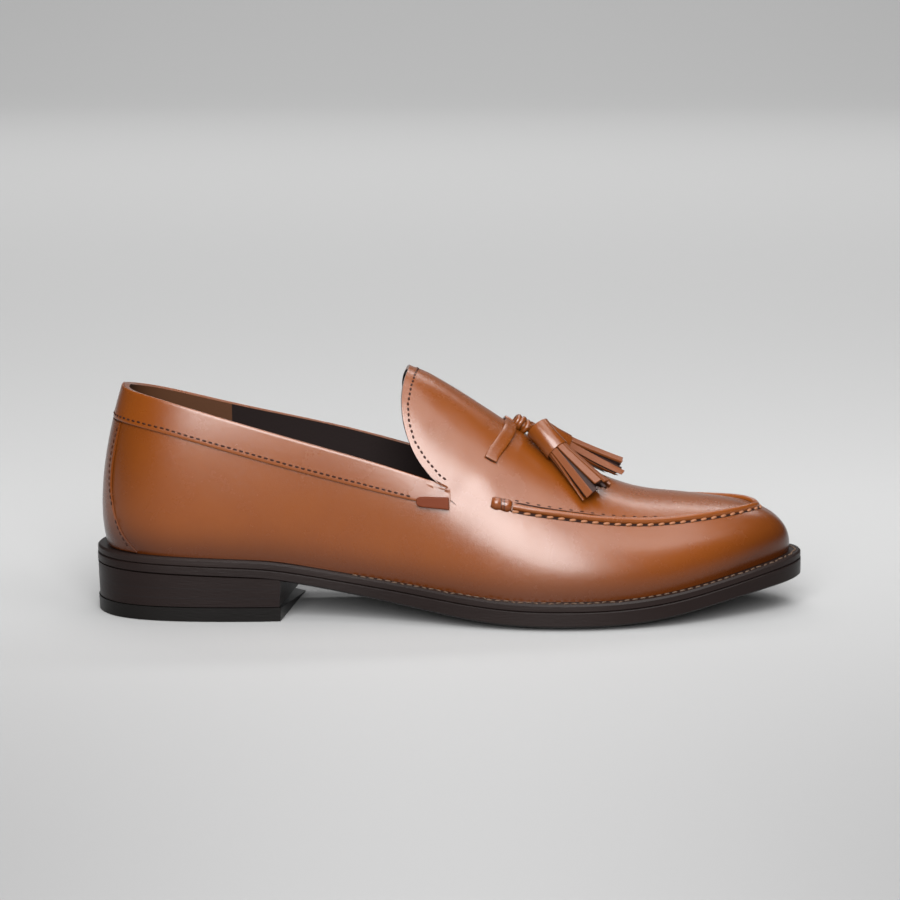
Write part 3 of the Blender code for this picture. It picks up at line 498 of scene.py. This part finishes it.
def burnished(piece):
    """Notes on each point how dark the finisher rubbed it: toe, heel and along the welt."""
    for vertex, value in zip(piece.data.vertices, burnish_and_shade_note(piece)):
        toe = eased(vertex.co.x, 0.100, 0.145)
        back = eased(vertex.co.x, -0.112, -0.148)
        _, _, _, away = welt_tree.find_nearest(vertex.co)
        low = math.exp(-((away / 0.0100) ** 2))
        value.value = min(0.85, 0.42 * toe + 0.36 * back + 0.70 * low)


def lining_finish():
    """Dark lining with a lighter suede grip over the heel, joined at an upright seam."""
    made, nodes, links, shader, place = new_finish("lining leather")
    nap = nodes.new("ShaderNodeTexNoise")
    nap.inputs["Scale"].default_value = 1300.0
    nap.inputs["Detail"].default_value = 4.0
    links.new(place, nap.inputs["Vector"])
    split = nodes.new("ShaderNodeSeparateXYZ")
    links.new(place, split.inputs["Vector"])
    front = nodes.new("ShaderNodeMath")
    front.operation = "GREATER_THAN"
    front.inputs[1].default_value = LINING_FROM
    links.new(split.outputs["X"], front.inputs[0])
    grip, lining = (0.040, 0.0150, 0.0056), (0.0035, 0.0009, 0.0007)
    shade = between(nodes, links, front.outputs["Value"], grip, lining)
    links.new(shade, shader.inputs["Base Color"])
    shader.inputs["Roughness"].default_value = 0.75
    shader.inputs["Specular IOR Level"].default_value = 0.15
    raised(nodes, links, shader, nap.outputs["Fac"], 0.35, 0.0002)
    return made


upper = fair_copy("upper", "upper_calf")
upper.data.materials.append(tan_calf)
upper.data.materials.append(lining_finish())
for face in upper.data.polygons:
    along = min(max(face.center.x, BACK_OF_MIDDLE), FRONT_OF_MIDDLE)
    if face.normal.dot(face.center - Vector((along, 0, MIDDLE_HEIGHT))) < 0:
        face.material_index = 1

# Soft hollows and swellings of the lasted leather. Columns: along, across and height of the
# middle, reach along, across and in height, and depth, where plus is outward.
FORM = (
    (0.006, -0.036, 0.056, 0.0060, 0.012, 0.0055, -0.00045),
    (0.017, -0.034, 0.056, 0.0060, 0.012, 0.0080, 0.00030),
    (0.030, -0.036, 0.040, 0.0200, 0.012, 0.0100, 0.00025),
    (-0.030, -0.033, 0.036, 0.0300, 0.012, 0.0110, -0.00030),
    (-0.085, -0.031, 0.048, 0.0220, 0.012, 0.0120, 0.00025),
)
count = len(upper.data.vertices)
spots, ups = np.empty(count * 3), np.empty(count * 3)
upper.data.vertices.foreach_get("co", spots)
upper.data.vertices.foreach_get("normal", ups)
spots, ups = spots.reshape(-1, 3), ups.reshape(-1, 3)
outside = np.where(ups[:, 1] < 0, 1.0, -1.0)
moved = spots.copy()
for x, y, z, along, across, rise, depth in FORM:
    far = (((spots - (x, y, z)) / (along, across, rise)) ** 2).sum(1)
    moved += ups * (depth * np.exp(-far) * outside)[:, None]
upper.data.vertices.foreach_set("co", moved.ravel())
upper.data.update()
burnished(upper)

upper_tree = tree_of(upper)
dark_thread = thread_finish("dark thread", (0.016, 0.0036, 0.0015))

# Backstay. A strip of the same calf over the seam at the back, wider towards the sole, glued down
# and sewn along both edges in dark thread.
backstay = fair_copy("backstay", "backstay_strip")
backstay.data.materials.append(tan_calf)
SHORT_STITCH = (0.0018, 0.00080, 0.0005)
BARELY_PROUD = 0.00003
SUNK_END = 0.0011


def bedded(piece, depth, run_out=None):
    """Sinks a piece into the upper it is sewn to, and notes painted shade along its edges where
    they meet the upper. Between the two places of the run-out it sinks away altogether."""
    for vertex, value in zip(piece.data.vertices, burnish_and_shade_note(piece)):
        spot, up, _, away = upper_tree.find_nearest(vertex.co)
        more = SUNK_END * eased(vertex.co.x, *run_out) if run_out else 0.0
        vertex.co -= up * (depth + more)
        if more == 0.0:
            # Painted shade: points close to the upper are noted darker, a contact shadow along the piece's
            # edges.
            value.value = max(value.value, 0.9 * math.exp(-((away / 0.00045) ** 2)))


burnished(backstay)
bedded(backstay, 0.00055)

BACKSTAY_ROW = (
    (-0.1375, 0.0165, 0.0800),
    (-0.1392, 0.0162, 0.0750),
    (-0.1408, 0.0158, 0.0700),
    (-0.1420, 0.0163, 0.0630),
    (-0.1416, 0.0180, 0.0545),
    (-0.1398, 0.0206, 0.0445),
    (-0.1372, 0.0220, 0.0370),
    (-0.1330, 0.0232, 0.0300),
)
backstay_tree = tree_of(backstay)
sewn_row(
    "backstay_stitches", backstay_tree,
    [[(x, side * y, z) for x, y, z in BACKSTAY_ROW] for side in (-1, 1)], 0.0026,
    SHORT_STITCH, BARELY_PROUD, dark_thread, from_side=True,
)

# Collar band. A strip of calf folded over the edge of the quarters, and sewn down along its lower
# edge with dark thread in short stitches.
BAND_RUN_OUT = (-0.0150, -0.0060)
band = fair_copy("collar_band", "collar_band_calf", corner=50, bevel=0.0004)
bedded(band, 0.00035, BAND_RUN_OUT)
band.data.materials.append(calf_finish("band calf", TAN, DEEP_TAN, True))

# Row over the band's lower edge. Columns: along, half width lateral, height lateral, half width
# medial, height medial.
BAND_ROW = (
    (-0.1385, 0.0004, 0.0842, 0.0004, 0.0842),
    (-0.1385, 0.0090, 0.0843, 0.0080, 0.0832),
    (-0.1350, 0.0170, 0.0841, 0.0165, 0.0821),
    (-0.1285, 0.0245, 0.0831, 0.0238, 0.0804),
    (-0.1180, 0.0295, 0.0811, 0.0285, 0.0778),
    (-0.0880, 0.0330, 0.0727, 0.0310, 0.0701),
    (-0.0670, 0.0330, 0.0666, 0.0300, 0.0650),
    (-0.0463, 0.0335, 0.0611, 0.0285, 0.0622),
    (-0.0300, 0.0345, 0.0570, 0.0280, 0.0590),
    (-0.0160, 0.0360, 0.0536, 0.0275, 0.0560),
)
band_tree = tree_of(band)
lateral = [(x, -y, z) for x, y, z, _, _ in BAND_ROW]
medial = [(x, y, z) for x, _, _, y, z in BAND_ROW]
sewn_row(
    "band_stitches", band_tree, [lateral[::-1] + medial[1:]], 0.00265,
    SHORT_STITCH, BARELY_PROUD, dark_thread, from_side=True,
)

# Tongue. The vamp runs up over the instep as one tongue, bound flat along its free edge, with one
# row of dark stitches set in from it.
TONGUE_ROW = (
    (-0.0013, 0.0345, 0.0604),
    (-0.0042, 0.0338, 0.0624),
    (-0.0101, 0.0318, 0.0691),
    (-0.0148, 0.0294, 0.0763),
    (-0.0170, 0.0264, 0.0838),
    (-0.0174, 0.0226, 0.0907),
    (-0.0162, 0.0165, 0.0970),
    (-0.0143, 0.0080, 0.1018),
    (-0.0128, 0.0000, 0.1030),
)
lateral = [(x, -y, z) for x, y, z in TONGUE_ROW]
medial = [(x, y * 0.80, z + 0.0012 * y / 0.03) for x, y, z in TONGUE_ROW]
sewn_row(
    "tongue_stitches", upper_tree, [lateral + medial[-2::-1]], 0.0024,
    (0.0016, 0.00090, 0.0005), BARELY_PROUD, dark_thread,
)

# Apron seam. The apron and the wall of the vamp are drawn together by hand over a cord, which
# leaves a smooth roll, with a row of thick stitches under it; the slots they sit in are painted shadow.
# Columns: along, across lateral, height lateral, across medial, height medial.
SEAM = (
    (0.0250, -0.0366, 0.0498, 0.0317, 0.0487),
    (0.0370, -0.0361, 0.0474, 0.0336, 0.0463),
    (0.0500, -0.0345, 0.0454, 0.0349, 0.0444),
    (0.0640, -0.0320, 0.0432, 0.0354, 0.0426),
    (0.0770, -0.0285, 0.0418, 0.0341, 0.0414),
    (0.0904, -0.0243, 0.0413, 0.0313, 0.0413),
    (0.1048, -0.0190, 0.0420, 0.0264, 0.0422),
    (0.1160, -0.0129, 0.0426, 0.0203, 0.0429),
    (0.1239, -0.0070, 0.0430, 0.0146, 0.0433),
    (0.1284, -0.0019, 0.0430, 0.0097, 0.0432),
    (0.1300, 0.0013, 0.0426, 0.0065, 0.0427),
    (0.1304, 0.0037, 0.0423, 0.0037, 0.0423),
)
seam_line = [Vector((x, y, z)) for x, y, z, _, _ in SEAM]
seam_line += [Vector((x, y, z)) for x, _, _, y, z in SEAM[-2::-1]]


def faired(points, passes=2):
    """A line with its corners cut, twice as many points each pass."""
    for _ in range(passes):
        cut = [points[0]]
        for a, b in zip(points, points[1:]):
            cut += [a.lerp(b, 0.25), a.lerp(b, 0.75)]
        points = cut + [points[-1]]
    return points


def beside(points, shift):
    """The line moved sideways over the upper. Plus is away from the apron."""
    moved = []
    for i, point in enumerate(points):
        ahead = points[min(i + 1, len(points) - 1)] - points[max(i - 1, 0)]
        spot, up, _, _ = upper_tree.find_nearest(point)
        across = ahead.cross(up).normalized()
        if across.z > 0:
            across = -across
        spot, up, _, _ = upper_tree.find_nearest(spot + across * shift)
        moved.append(spot)
    return moved


def laid_cord(name, points, radius, lift, finish, flat=1.0):
    """A thin round cord along a line on the upper; each one here is a dark cord of painted shadow in a slot
    or slit.
    """
    sides = 8
    rings, faces = [], []
    for i, point in enumerate(points):
        ahead = (points[min(i + 1, len(points) - 1)] - points[max(i - 1, 0)]).normalized()
        spot, up, _, _ = upper_tree.find_nearest(point)
        across = up.cross(ahead).normalized()
        end = min(1.0, 0.35 + min(i, len(points) - 1 - i) * 0.25)
        for side in range(sides):
            angle = 2 * math.pi * side / sides
            around = across * math.cos(angle) * radius + up * math.sin(angle) * radius * flat
            rings.append(spot + up * lift + around * end)
    for i in range(len(points) - 1):
        for side in range(sides):
            after = (side + 1) % sides
            here, beyond = i * sides, (i + 1) * sides
            faces.append((here + side, here + after, beyond + after, beyond + side))
    faces.append(tuple(range(sides))[::-1])
    faces.append(tuple((len(points) - 1) * sides + side for side in range(sides)))
    mesh = bpy.data.meshes.new(name)
    mesh.from_pydata(rings, [], faces)
    mesh.shade_smooth()
    mesh.materials.append(finish)
    cord = bpy.data.objects.new(name, mesh)
    bpy.context.scene.collection.objects.link(cord)
    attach(cord, "root")
    return cord


SEAM_FOOT, APRON_SIDE, APRON_ROW = 0.0021, -0.0019, -0.0029
# Painted shadow: the slots under the roll are thin dark cords and dashes in a near-black finish.
painted_slot_shadow = thread_finish("slot shadow", (0.010, 0.0025, 0.0012), 0.8)
seam_thread = thread_finish("seam thread", (0.175, 0.0750, 0.0380), 0.5)
seam_line = faired(seam_line)
roll = fair_copy("apron_roll", "apron_roll_calf", corner=75)
bedded(roll, 0.00035)
roll.data.materials.append(calf_finish("roll calf", (0.124, 0.0320, 0.0040), DEEP_TAN, True))
seam_foot = beside(seam_line, SEAM_FOOT)
laid_cord("seam_channel_shadow", seam_foot, 0.00078, -0.00012, painted_slot_shadow, 0.5)
sewn_row(
    "seam_stitches", upper_tree, [seam_foot], 0.0048,
    (0.0031, 0.0013, 0.0012), 0.00022, seam_thread, slant=0.16,
)
apron_side = beside(seam_line, APRON_SIDE)
laid_cord("apron_channel_shadow", apron_side, 0.00042, -0.00016, painted_slot_shadow, 0.6)

# On the apron's side only the back part of each side's row shows, as dark dashes of painted shadow.
apron_line = beside(seam_line, APRON_ROW)
apron_row = [apron_line[:22], apron_line[::-1][:22]]
sewn_row(
    "apron_stitch_shadows", upper_tree, apron_row, 0.0046,
    (0.0020, 0.0007, 0.0006), -0.00012, painted_slot_shadow,
)

# Whipped ends of the seam. At each side the roll ends in a short sleeve of thin leather, wound
# round it and drawn tight; the grooves between the turns are painted shade, dark bands on it.
wrap_calf = calf_finish("wrap calf", (0.105, 0.0245, 0.0028), DEEP_TAN, True)
SHADED_GROOVES = (0.50, 0.62, 0.99)
GROOVE_SHADE_WIDTH = 0.035
for side in ("lateral", "medial"):
    wrap = fair_copy(
        "roll_wrap_" + side, "seam_end_" + side, levels=3, corner=60, bevel=0.0005
    )
    bedded(wrap, 0.0003)
    first = min(vertex.co.x for vertex in wrap.data.vertices)
    last = max(vertex.co.x for vertex in wrap.data.vertices)
    # Painted shade: dark bands where the grooves between the turns lie.
    for vertex, value in zip(wrap.data.vertices, burnish_and_shade_note(wrap)):
        share = (vertex.co.x - first) / (last - first)
        near = min(abs(share - groove) for groove in SHADED_GROOVES)
        value.value = max(value.value, 0.95 * math.exp(-((near / GROOVE_SHADE_WIDTH) ** 2)))
    wrap.data.materials.append(wrap_calf)

# Tabs. A short bar of calf sewn over the front end of each side of the band, where it meets the
# vamp, with a slit in the vamp just ahead of it. The slit is painted shadow, a thin dark cord.
tab_calf = calf_finish(
    "tab calf", (0.075, 0.0135, 0.0025), (0.045, 0.0075, 0.0012), True, roughness=(0.55, 0.7), coat=0.0
)
tab_calf.node_tree.nodes["Principled BSDF"].inputs["Specular IOR Level"].default_value = 0.12
for side in ("lateral", "medial"):
    tab = fair_copy("tab_" + side, "band_tab_" + side, corner=60, bevel=0.0004)
    bedded(tab, 0.0003)
    tab.data.materials.append(tab_calf)
SLIT_BY_TAB = ((-0.0008, -0.0360, 0.0530), (0.0008, -0.0365, 0.0518), (0.0026, -0.0370, 0.0503))
slit_by_tab = [Vector(place) for place in SLIT_BY_TAB]
laid_cord("slit_by_tab", slit_by_tab, 0.0004, -0.0001, painted_slot_shadow, 0.7)

# Laces. A flat strip of calf comes up through a slit on each side of the vamp and runs over the
# instep to the knot that carries the tassels.
lace_calf = calf_finish("lace calf", (0.108, 0.0270, 0.0025), DEEP_TAN, True)
for side in ("lateral", "medial"):
    lace = fair_copy("strap_" + side, "lace_" + side, corner=60, bevel=0.0004)
    bedded(lace, 0.00025)
    lace.data.materials.append(lace_calf)

# The slit lies across the lace's lower end, from its rear corner to its front one, and past both.
# Each slit is painted shadow, a thin dark cord.
for side, across in (("lateral", -1), ("medial", 1)):
    lace = bpy.data.objects["lace_" + side]
    low = [v.co for v in sorted(lace.data.vertices, key=lambda v: v.co.y * across)[-60:]]
    middle = sum(low, Vector()) / len(low)
    rear, front = [
        max(low, key=lambda p: (p.x - middle.x) * way - abs(p.y - middle.y) * 0.2) for way in (-1, 1)
    ]
    line = [rear.lerp(front, share) for share in (-0.10, 0.1, 0.3, 0.5, 0.7, 0.9, 1.10)]
    laid_cord("slit_" + side, line, 0.00055, -0.00010, painted_slot_shadow, 0.7)

# Knot. The two laces meet on top of the instep, where a narrow strip of calf is wound round them
# in a few turns and pulled tight.
KNOT_AXIS = Vector((0.831, 0.0, -0.556))
KNOT_MIDDLE = Vector((0.0306, 0.0018, 0.0776))
# Columns: place along the knot, tilt, radius of the turn.
TURNS = ((-0.0029, 0.10, 0.0019), (-0.0007, -0.28, 0.0023), (0.0015, 0.22, 0.0021))


def joined(name, slot, parts, *nodes):
    """Parts made one piece with its place in its mesh."""
    bpy.ops.object.select_all(action="DESELECT")
    for part in parts:
        part.select_set(True)
    bpy.context.view_layer.objects.active = parts[0]
    if len(parts) > 1:
        bpy.ops.object.join()
    piece = bpy.context.view_layer.objects.active
    bpy.ops.object.transform_apply(location=True, rotation=True, scale=True)
    piece.name = name
    piece.data.name = name
    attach(piece, "root")
    if nodes:
        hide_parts(*nodes)
    return piece


turns = []
for along, tilt, wide in TURNS:
    bpy.ops.object.select_all(action="DESELECT")
    heading = (KNOT_AXIS + Vector((0, tilt, 0))).to_track_quat("Z", "Y").to_euler()
    bpy.ops.mesh.primitive_torus_add(
        location=KNOT_MIDDLE + KNOT_AXIS * along, rotation=heading,
        major_segments=28, minor_segments=10, major_radius=wide, minor_radius=0.00130,
    )
    turns.append(bpy.context.object)
bpy.ops.object.select_all(action="DESELECT")
bpy.ops.mesh.primitive_uv_sphere_add(
    segments=16, ring_count=10, radius=0.0022, location=KNOT_MIDDLE + KNOT_AXIS * 0.0003,
    rotation=KNOT_AXIS.to_track_quat("Z", "Y").to_euler(), scale=(1, 1, 2.0),
)
turns.append(bpy.context.object)
knot = joined("knot_turns", "trim_leather", turns, "knot")
knot.data.shade_smooth()
knot.data.materials.append(calf_finish("knot calf", (0.096, 0.0245, 0.0026), DEEP_TAN))

# Tassels. Each is a rolled cap of calf glued over the head of a fringe of cut strips, and hangs
# from the knot on a short cord.
# Columns: name, heading from the toe to the medial side, fall below level, in degrees.
TASSELS = (("near", -36.0, 41.0), ("far", 13.0, 32.0))
CAP_LENGTH = 0.0138
CAP_RADIUS = 0.0053
FRINGE_LENGTH = 0.0262
STRIPS = 9
STRIP_WIDTH = 0.0028
STRIP_THICKNESS = 0.00115
STRIP_STEPS = 9
HIDDEN_END = 0.001
CLEAR_OF_VAMP = 0.0012
REST_HEIGHT = 0.003
CORD_RADIUS = 0.0019
FOLD_ANGLE = 38
tassel_calf = calf_finish("tassel calf", (0.104, 0.0260, 0.0025), (0.062, 0.0112, 0.0012))
fringe_calf = calf_finish(
    "fringe calf", (0.102, 0.0260, 0.0038), (0.058, 0.0112, 0.0019), roughness=(0.42, 0.55), coat=0.1
)
# Painted shade: the inner layer of strips, in the shade of the outer one, is the same calf drawn near-black.
fringe_core_shade = calf_finish(
    "fringe core painted shade", (0.016, 0.0030, 0.0012), (0.009, 0.0018, 0.0009), roughness=(0.6, 0.7), coat=0.0
)


def rolled_cap(axis, top):
    """A rolled tube of calf with a flat end, its lap showing as a low step along it."""
    bpy.ops.object.select_all(action="DESELECT")
    bpy.ops.mesh.primitive_cylinder_add(
        vertices=36, radius=CAP_RADIUS, depth=CAP_LENGTH, end_fill_type="NGON"
    )
    cap = bpy.context.object
    bpy.ops.object.mode_set(mode="EDIT")
    bpy.ops.mesh.select_all(action="DESELECT")
    work = bmesh.from_edit_mesh(cap.data)
    for face in work.faces:
        face.select = abs(face.normal.z) > 0.9
    bmesh.update_edit_mesh(cap.data)
    bpy.ops.mesh.inset(thickness=0.0009)
    bpy.ops.mesh.extrude_region_shrink_fatten(TRANSFORM_OT_shrink_fatten={"value": -0.0012})
    bpy.ops.object.mode_set(mode="OBJECT")
    soft = cap.modifiers.new("turned edge", "BEVEL")
    soft.width = 0.00028
    soft.segments = 2
    soft.limit_method = "ANGLE"
    bpy.ops.object.modifier_apply(modifier=soft.name)
    fine = cap.modifiers.new("fine", "SUBSURF")
    fine.subdivision_type = "SIMPLE"
    fine.levels = 1
    fine.render_levels = 1
    bpy.ops.object.modifier_apply(modifier=fine.name)
    for vertex in cap.data.vertices:
        x, y, z = vertex.co
        turn = (math.atan2(y, x) / (2 * math.pi) + 0.30) % 1.0
        outer = min(1.0, max(0.0, (math.hypot(x, y) - CAP_RADIUS * 0.5) / (CAP_RADIUS * 0.4)))
        waist = 1 - 0.03 * math.cos(z / CAP_LENGTH * 2 * math.pi * 0.8)
        wider = 1 + ((0.955 + 0.075 * turn) * waist - 1) * outer
        vertex.co = (x * wider, y * wider, z)
    cap.rotation_euler = axis.to_track_quat("Z", "Y").to_euler()
    cap.location = top + axis * CAP_LENGTH / 2
    return cap


def fringe_strip(number, layer, axis, top):
    """One cut strip, bent outward a little and lifted where the vamp is under it."""
    bpy.ops.object.select_all(action="DESELECT")
    bpy.ops.mesh.primitive_cube_add(size=1)
    strip = bpy.context.object
    length = FRINGE_LENGTH * (0.95 + 0.05 * math.cos(2.4 * number + layer)) + HIDDEN_END
    bpy.ops.transform.resize(value=(STRIP_WIDTH, STRIP_THICKNESS, length))
    bpy.ops.transform.translate(value=(0, 0, length / 2 - HIDDEN_END))
    bpy.ops.object.transform_apply(location=True, rotation=True, scale=True)
    soft = strip.modifiers.new("cut edge", "BEVEL")
    soft.width = 0.00014
    soft.segments = 1
    bpy.ops.object.modifier_apply(modifier=soft.name)
    bpy.ops.object.mode_set(mode="EDIT")
    for step in range(1, STRIP_STEPS):
        height = length * step / STRIP_STEPS - HIDDEN_END
        bpy.ops.mesh.select_all(action="SELECT")
        bpy.ops.mesh.bisect(plane_co=(0, 0, height), plane_no=(0, 0, 1))
    bpy.ops.object.mode_set(mode="OBJECT")
    side = axis.cross(Vector((0, 0, 1))).normalized()
    up = side.cross(axis).normalized()
    angle = 2 * math.pi * (number + 0.5 + 0.5 * layer) / STRIPS
    away = side * math.cos(angle) + up * math.sin(angle)
    round_way = axis.cross(away)
    spread = 0.0038 + 0.0004 * math.sin(1.7 * number) - 0.0012 * layer
    for vertex in strip.data.vertices:
        x, y, z = vertex.co
        share = max(0.0, z / length)
        x *= 0.96 + 0.26 * share
        radius = CAP_RADIUS * (0.80 - 0.26 * layer) + spread * share ** 1.2
        lean = 0.0004 * math.sin(3.1 * number + 1) * share
        outward = radius + y - 0.02 * x * x / CAP_RADIUS
        vertex.co = top + axis * z + away * outward + round_way * (x + lean)
    for vertex in strip.data.vertices:
        under, _, _, _ = upper_tree.ray_cast(Vector((vertex.co.x, vertex.co.y, 0.15)), DOWN)
        if under is not None:
            height = vertex.co.z - under.z - CLEAR_OF_VAMP
            if height < REST_HEIGHT:
                lowest = REST_HEIGHT * math.exp((height - REST_HEIGHT) / (2 * REST_HEIGHT))
                vertex.co.z += lowest - height
    return strip


for place, heading, fall in TASSELS:
    heading, fall = math.radians(heading), math.radians(fall)
    level = Vector((math.cos(heading), math.sin(heading), 0))
    axis = level * math.cos(fall) + DOWN * math.sin(fall)
    points = [vertex.co for vertex in frame["nodes"]["tassel_cap_" + place].data.vertices]
    farthest = max(point.dot(axis) for point in points)
    last_ring = [point for point in points if point.dot(axis) > farthest - 0.0002]
    end = sum(last_ring, Vector()) / len(last_ring)
    top = end - axis * CAP_LENGTH
    root = min(points, key=lambda point: point.dot(axis))
    run = top - root
    bpy.ops.object.select_all(action="DESELECT")
    bpy.ops.mesh.primitive_cylinder_add(
        vertices=12, radius=CORD_RADIUS, depth=run.length + 0.002, location=(top + root) / 2 + axis * 0.0004,
        rotation=run.to_track_quat("Z", "Y").to_euler(),
    )
    cord = bpy.context.object
    cap = joined("cap_" + place, "tassel_leather", [rolled_cap(axis, top), cord], "tassel_cap_" + place)
    bpy.ops.object.shade_smooth_by_angle(angle=math.radians(FOLD_ANGLE))
    cap.data.materials.append(tassel_calf)
    strips = []
    # The second layer is the inner one, drawn in the painted-shade finish.
    for layer, finish in enumerate((fringe_calf, fringe_core_shade)):
        for number in range(STRIPS):
            strip = fringe_strip(number, layer, axis, end)
            strip.data.materials.append(finish)
            strips.append(strip)
    joined("fringe_" + place, "tassel_leather", strips, "tassel_fringe_" + place)
    bpy.ops.object.shade_smooth_by_angle(angle=math.radians(FOLD_ANGLE))

# Photographer's table. A pale paper sweep that curves up behind, soft panels in front, above and
# over the paper's far end, and the camera low at the shoe's outer side.
bpy.ops.object.select_all(action="DESELECT")
FLOOR_SIZE = 6.0
PAPER_TONE, PAINTED_FALLOFF_TONE = (0.283, 0.283, 0.283), (0.130, 0.130, 0.130)
bpy.ops.mesh.primitive_plane_add(size=FLOOR_SIZE, location=(0, 0, -0.0002))
floor = bpy.context.object
floor.name = "sweep"
bpy.ops.object.mode_set(mode="EDIT")
bpy.ops.mesh.select_all(action="DESELECT")
work = bmesh.from_edit_mesh(floor.data)
for edge in work.edges:
    edge.select = all(vertex.co.y > FLOOR_SIZE / 2 - 0.1 for vertex in edge.verts)
bmesh.update_edit_mesh(floor.data)
bpy.ops.mesh.spin(
    steps=16, angle=math.radians(-80), center=(0, FLOOR_SIZE / 2, 2.0), axis=(1, 0, 0), dupli=False
)
bpy.ops.mesh.extrude_region_move(TRANSFORM_OT_translate={"value": (0, 0.6, 3.5)})
bpy.ops.object.mode_set(mode="OBJECT")
bpy.ops.object.shade_smooth()
bpy.ops.object.transform_apply(location=True, rotation=True, scale=True)
paper, nodes, links, shader, place = new_finish("pale paper with painted pool")
split = nodes.new("ShaderNodeSeparateXYZ")
links.new(place, split.inputs["Vector"])
beside_shoe = nodes.new("ShaderNodeMath")
beside_shoe.operation = "ABSOLUTE"
links.new(split.outputs["X"], beside_shoe.inputs[0])
# Painted light: the paper is drawn darker towards the camera and to the sides, a painted pool of light round
# the shoe.
shares = []
for source, start, finish, low, high in (
    (split.outputs["Y"], 0.30, -0.50, 0.0, 1.0),
    (beside_shoe.outputs["Value"], 0.0, 0.22, 0.75, 1.0),
):
    ramp = nodes.new("ShaderNodeMapRange")
    ramp.interpolation_type = "SMOOTHSTEP"
    ramp.inputs["From Min"].default_value = start
    ramp.inputs["From Max"].default_value = finish
    ramp.inputs["To Min"].default_value = low
    ramp.inputs["To Max"].default_value = high
    links.new(source, ramp.inputs["Value"])
    shares.append(ramp.outputs["Result"])
painted_falloff = nodes.new("ShaderNodeMath")
painted_falloff.operation = "MULTIPLY"
links.new(shares[0], painted_falloff.inputs[0])
links.new(shares[1], painted_falloff.inputs[1])
shade = between(nodes, links, painted_falloff.outputs["Value"], PAPER_TONE, PAINTED_FALLOFF_TONE)
links.new(shade, shader.inputs["Base Color"])
shader.inputs["Roughness"].default_value = 0.85
floor.data.materials.append(paper)

world = bpy.data.worlds.new("studio")
bpy.context.scene.world = world
world.use_nodes = True
room = world.node_tree.nodes["Background"]
room.inputs["Color"].default_value = (1.0, 1.0, 1.0, 1.0)
room.inputs["Strength"].default_value = 0.06


def soft_panel(name, place, aim, size, power):
    """A square softbox turned towards the place it is aimed at."""
    light = bpy.data.lights.new(name, "AREA")
    light.shape = "RECTANGLE"
    light.size, light.size_y = size
    light.energy = power
    panel = bpy.data.objects.new(name, light)
    bpy.context.scene.collection.objects.link(panel)
    panel.location = place
    panel.rotation_euler = (Vector(aim) - Vector(place)).to_track_quat("-Z", "Y").to_euler()


soft_panel("overhead", (0.12, 0.10, 1.38), (0.02, 0.03, 0.0), (1.1, 0.9), 14.5)
soft_panel("front", (-0.08, -1.52, 1.00), (0, 0, 0.05), (1.20, 1.45), 104.0)
soft_panel("front right", (0.61, -0.61, 1.25), (0.05, 0, 0.05), (0.8, 0.6), 8.0)
soft_panel("far sweep", (0.0, 2.0, 2.2), (0, 3.2, 0.2), (3.0, 1.2), 120.0)

CAMERA_DISTANCE = 1.4
CAMERA_ELEVATION = math.radians(10)
FOCAL_LENGTH, SENSOR_WIDTH = 132.2, 36.0
lens = bpy.data.cameras.new("view")
lens.sensor_width = SENSOR_WIDTH
lens.lens = FOCAL_LENGTH
camera = bpy.data.objects.new("view", lens)
bpy.context.scene.collection.objects.link(camera)
aim = Vector((0, 0, 0.067))
away = Vector((0, -math.cos(CAMERA_ELEVATION), math.sin(CAMERA_ELEVATION)))
camera.location = aim + away * CAMERA_DISTANCE
camera.rotation_euler = (-away).to_track_quat("-Z", "Y").to_euler()
bpy.context.scene.camera = camera
bpy.context.scene.view_settings.view_transform = "Standard"
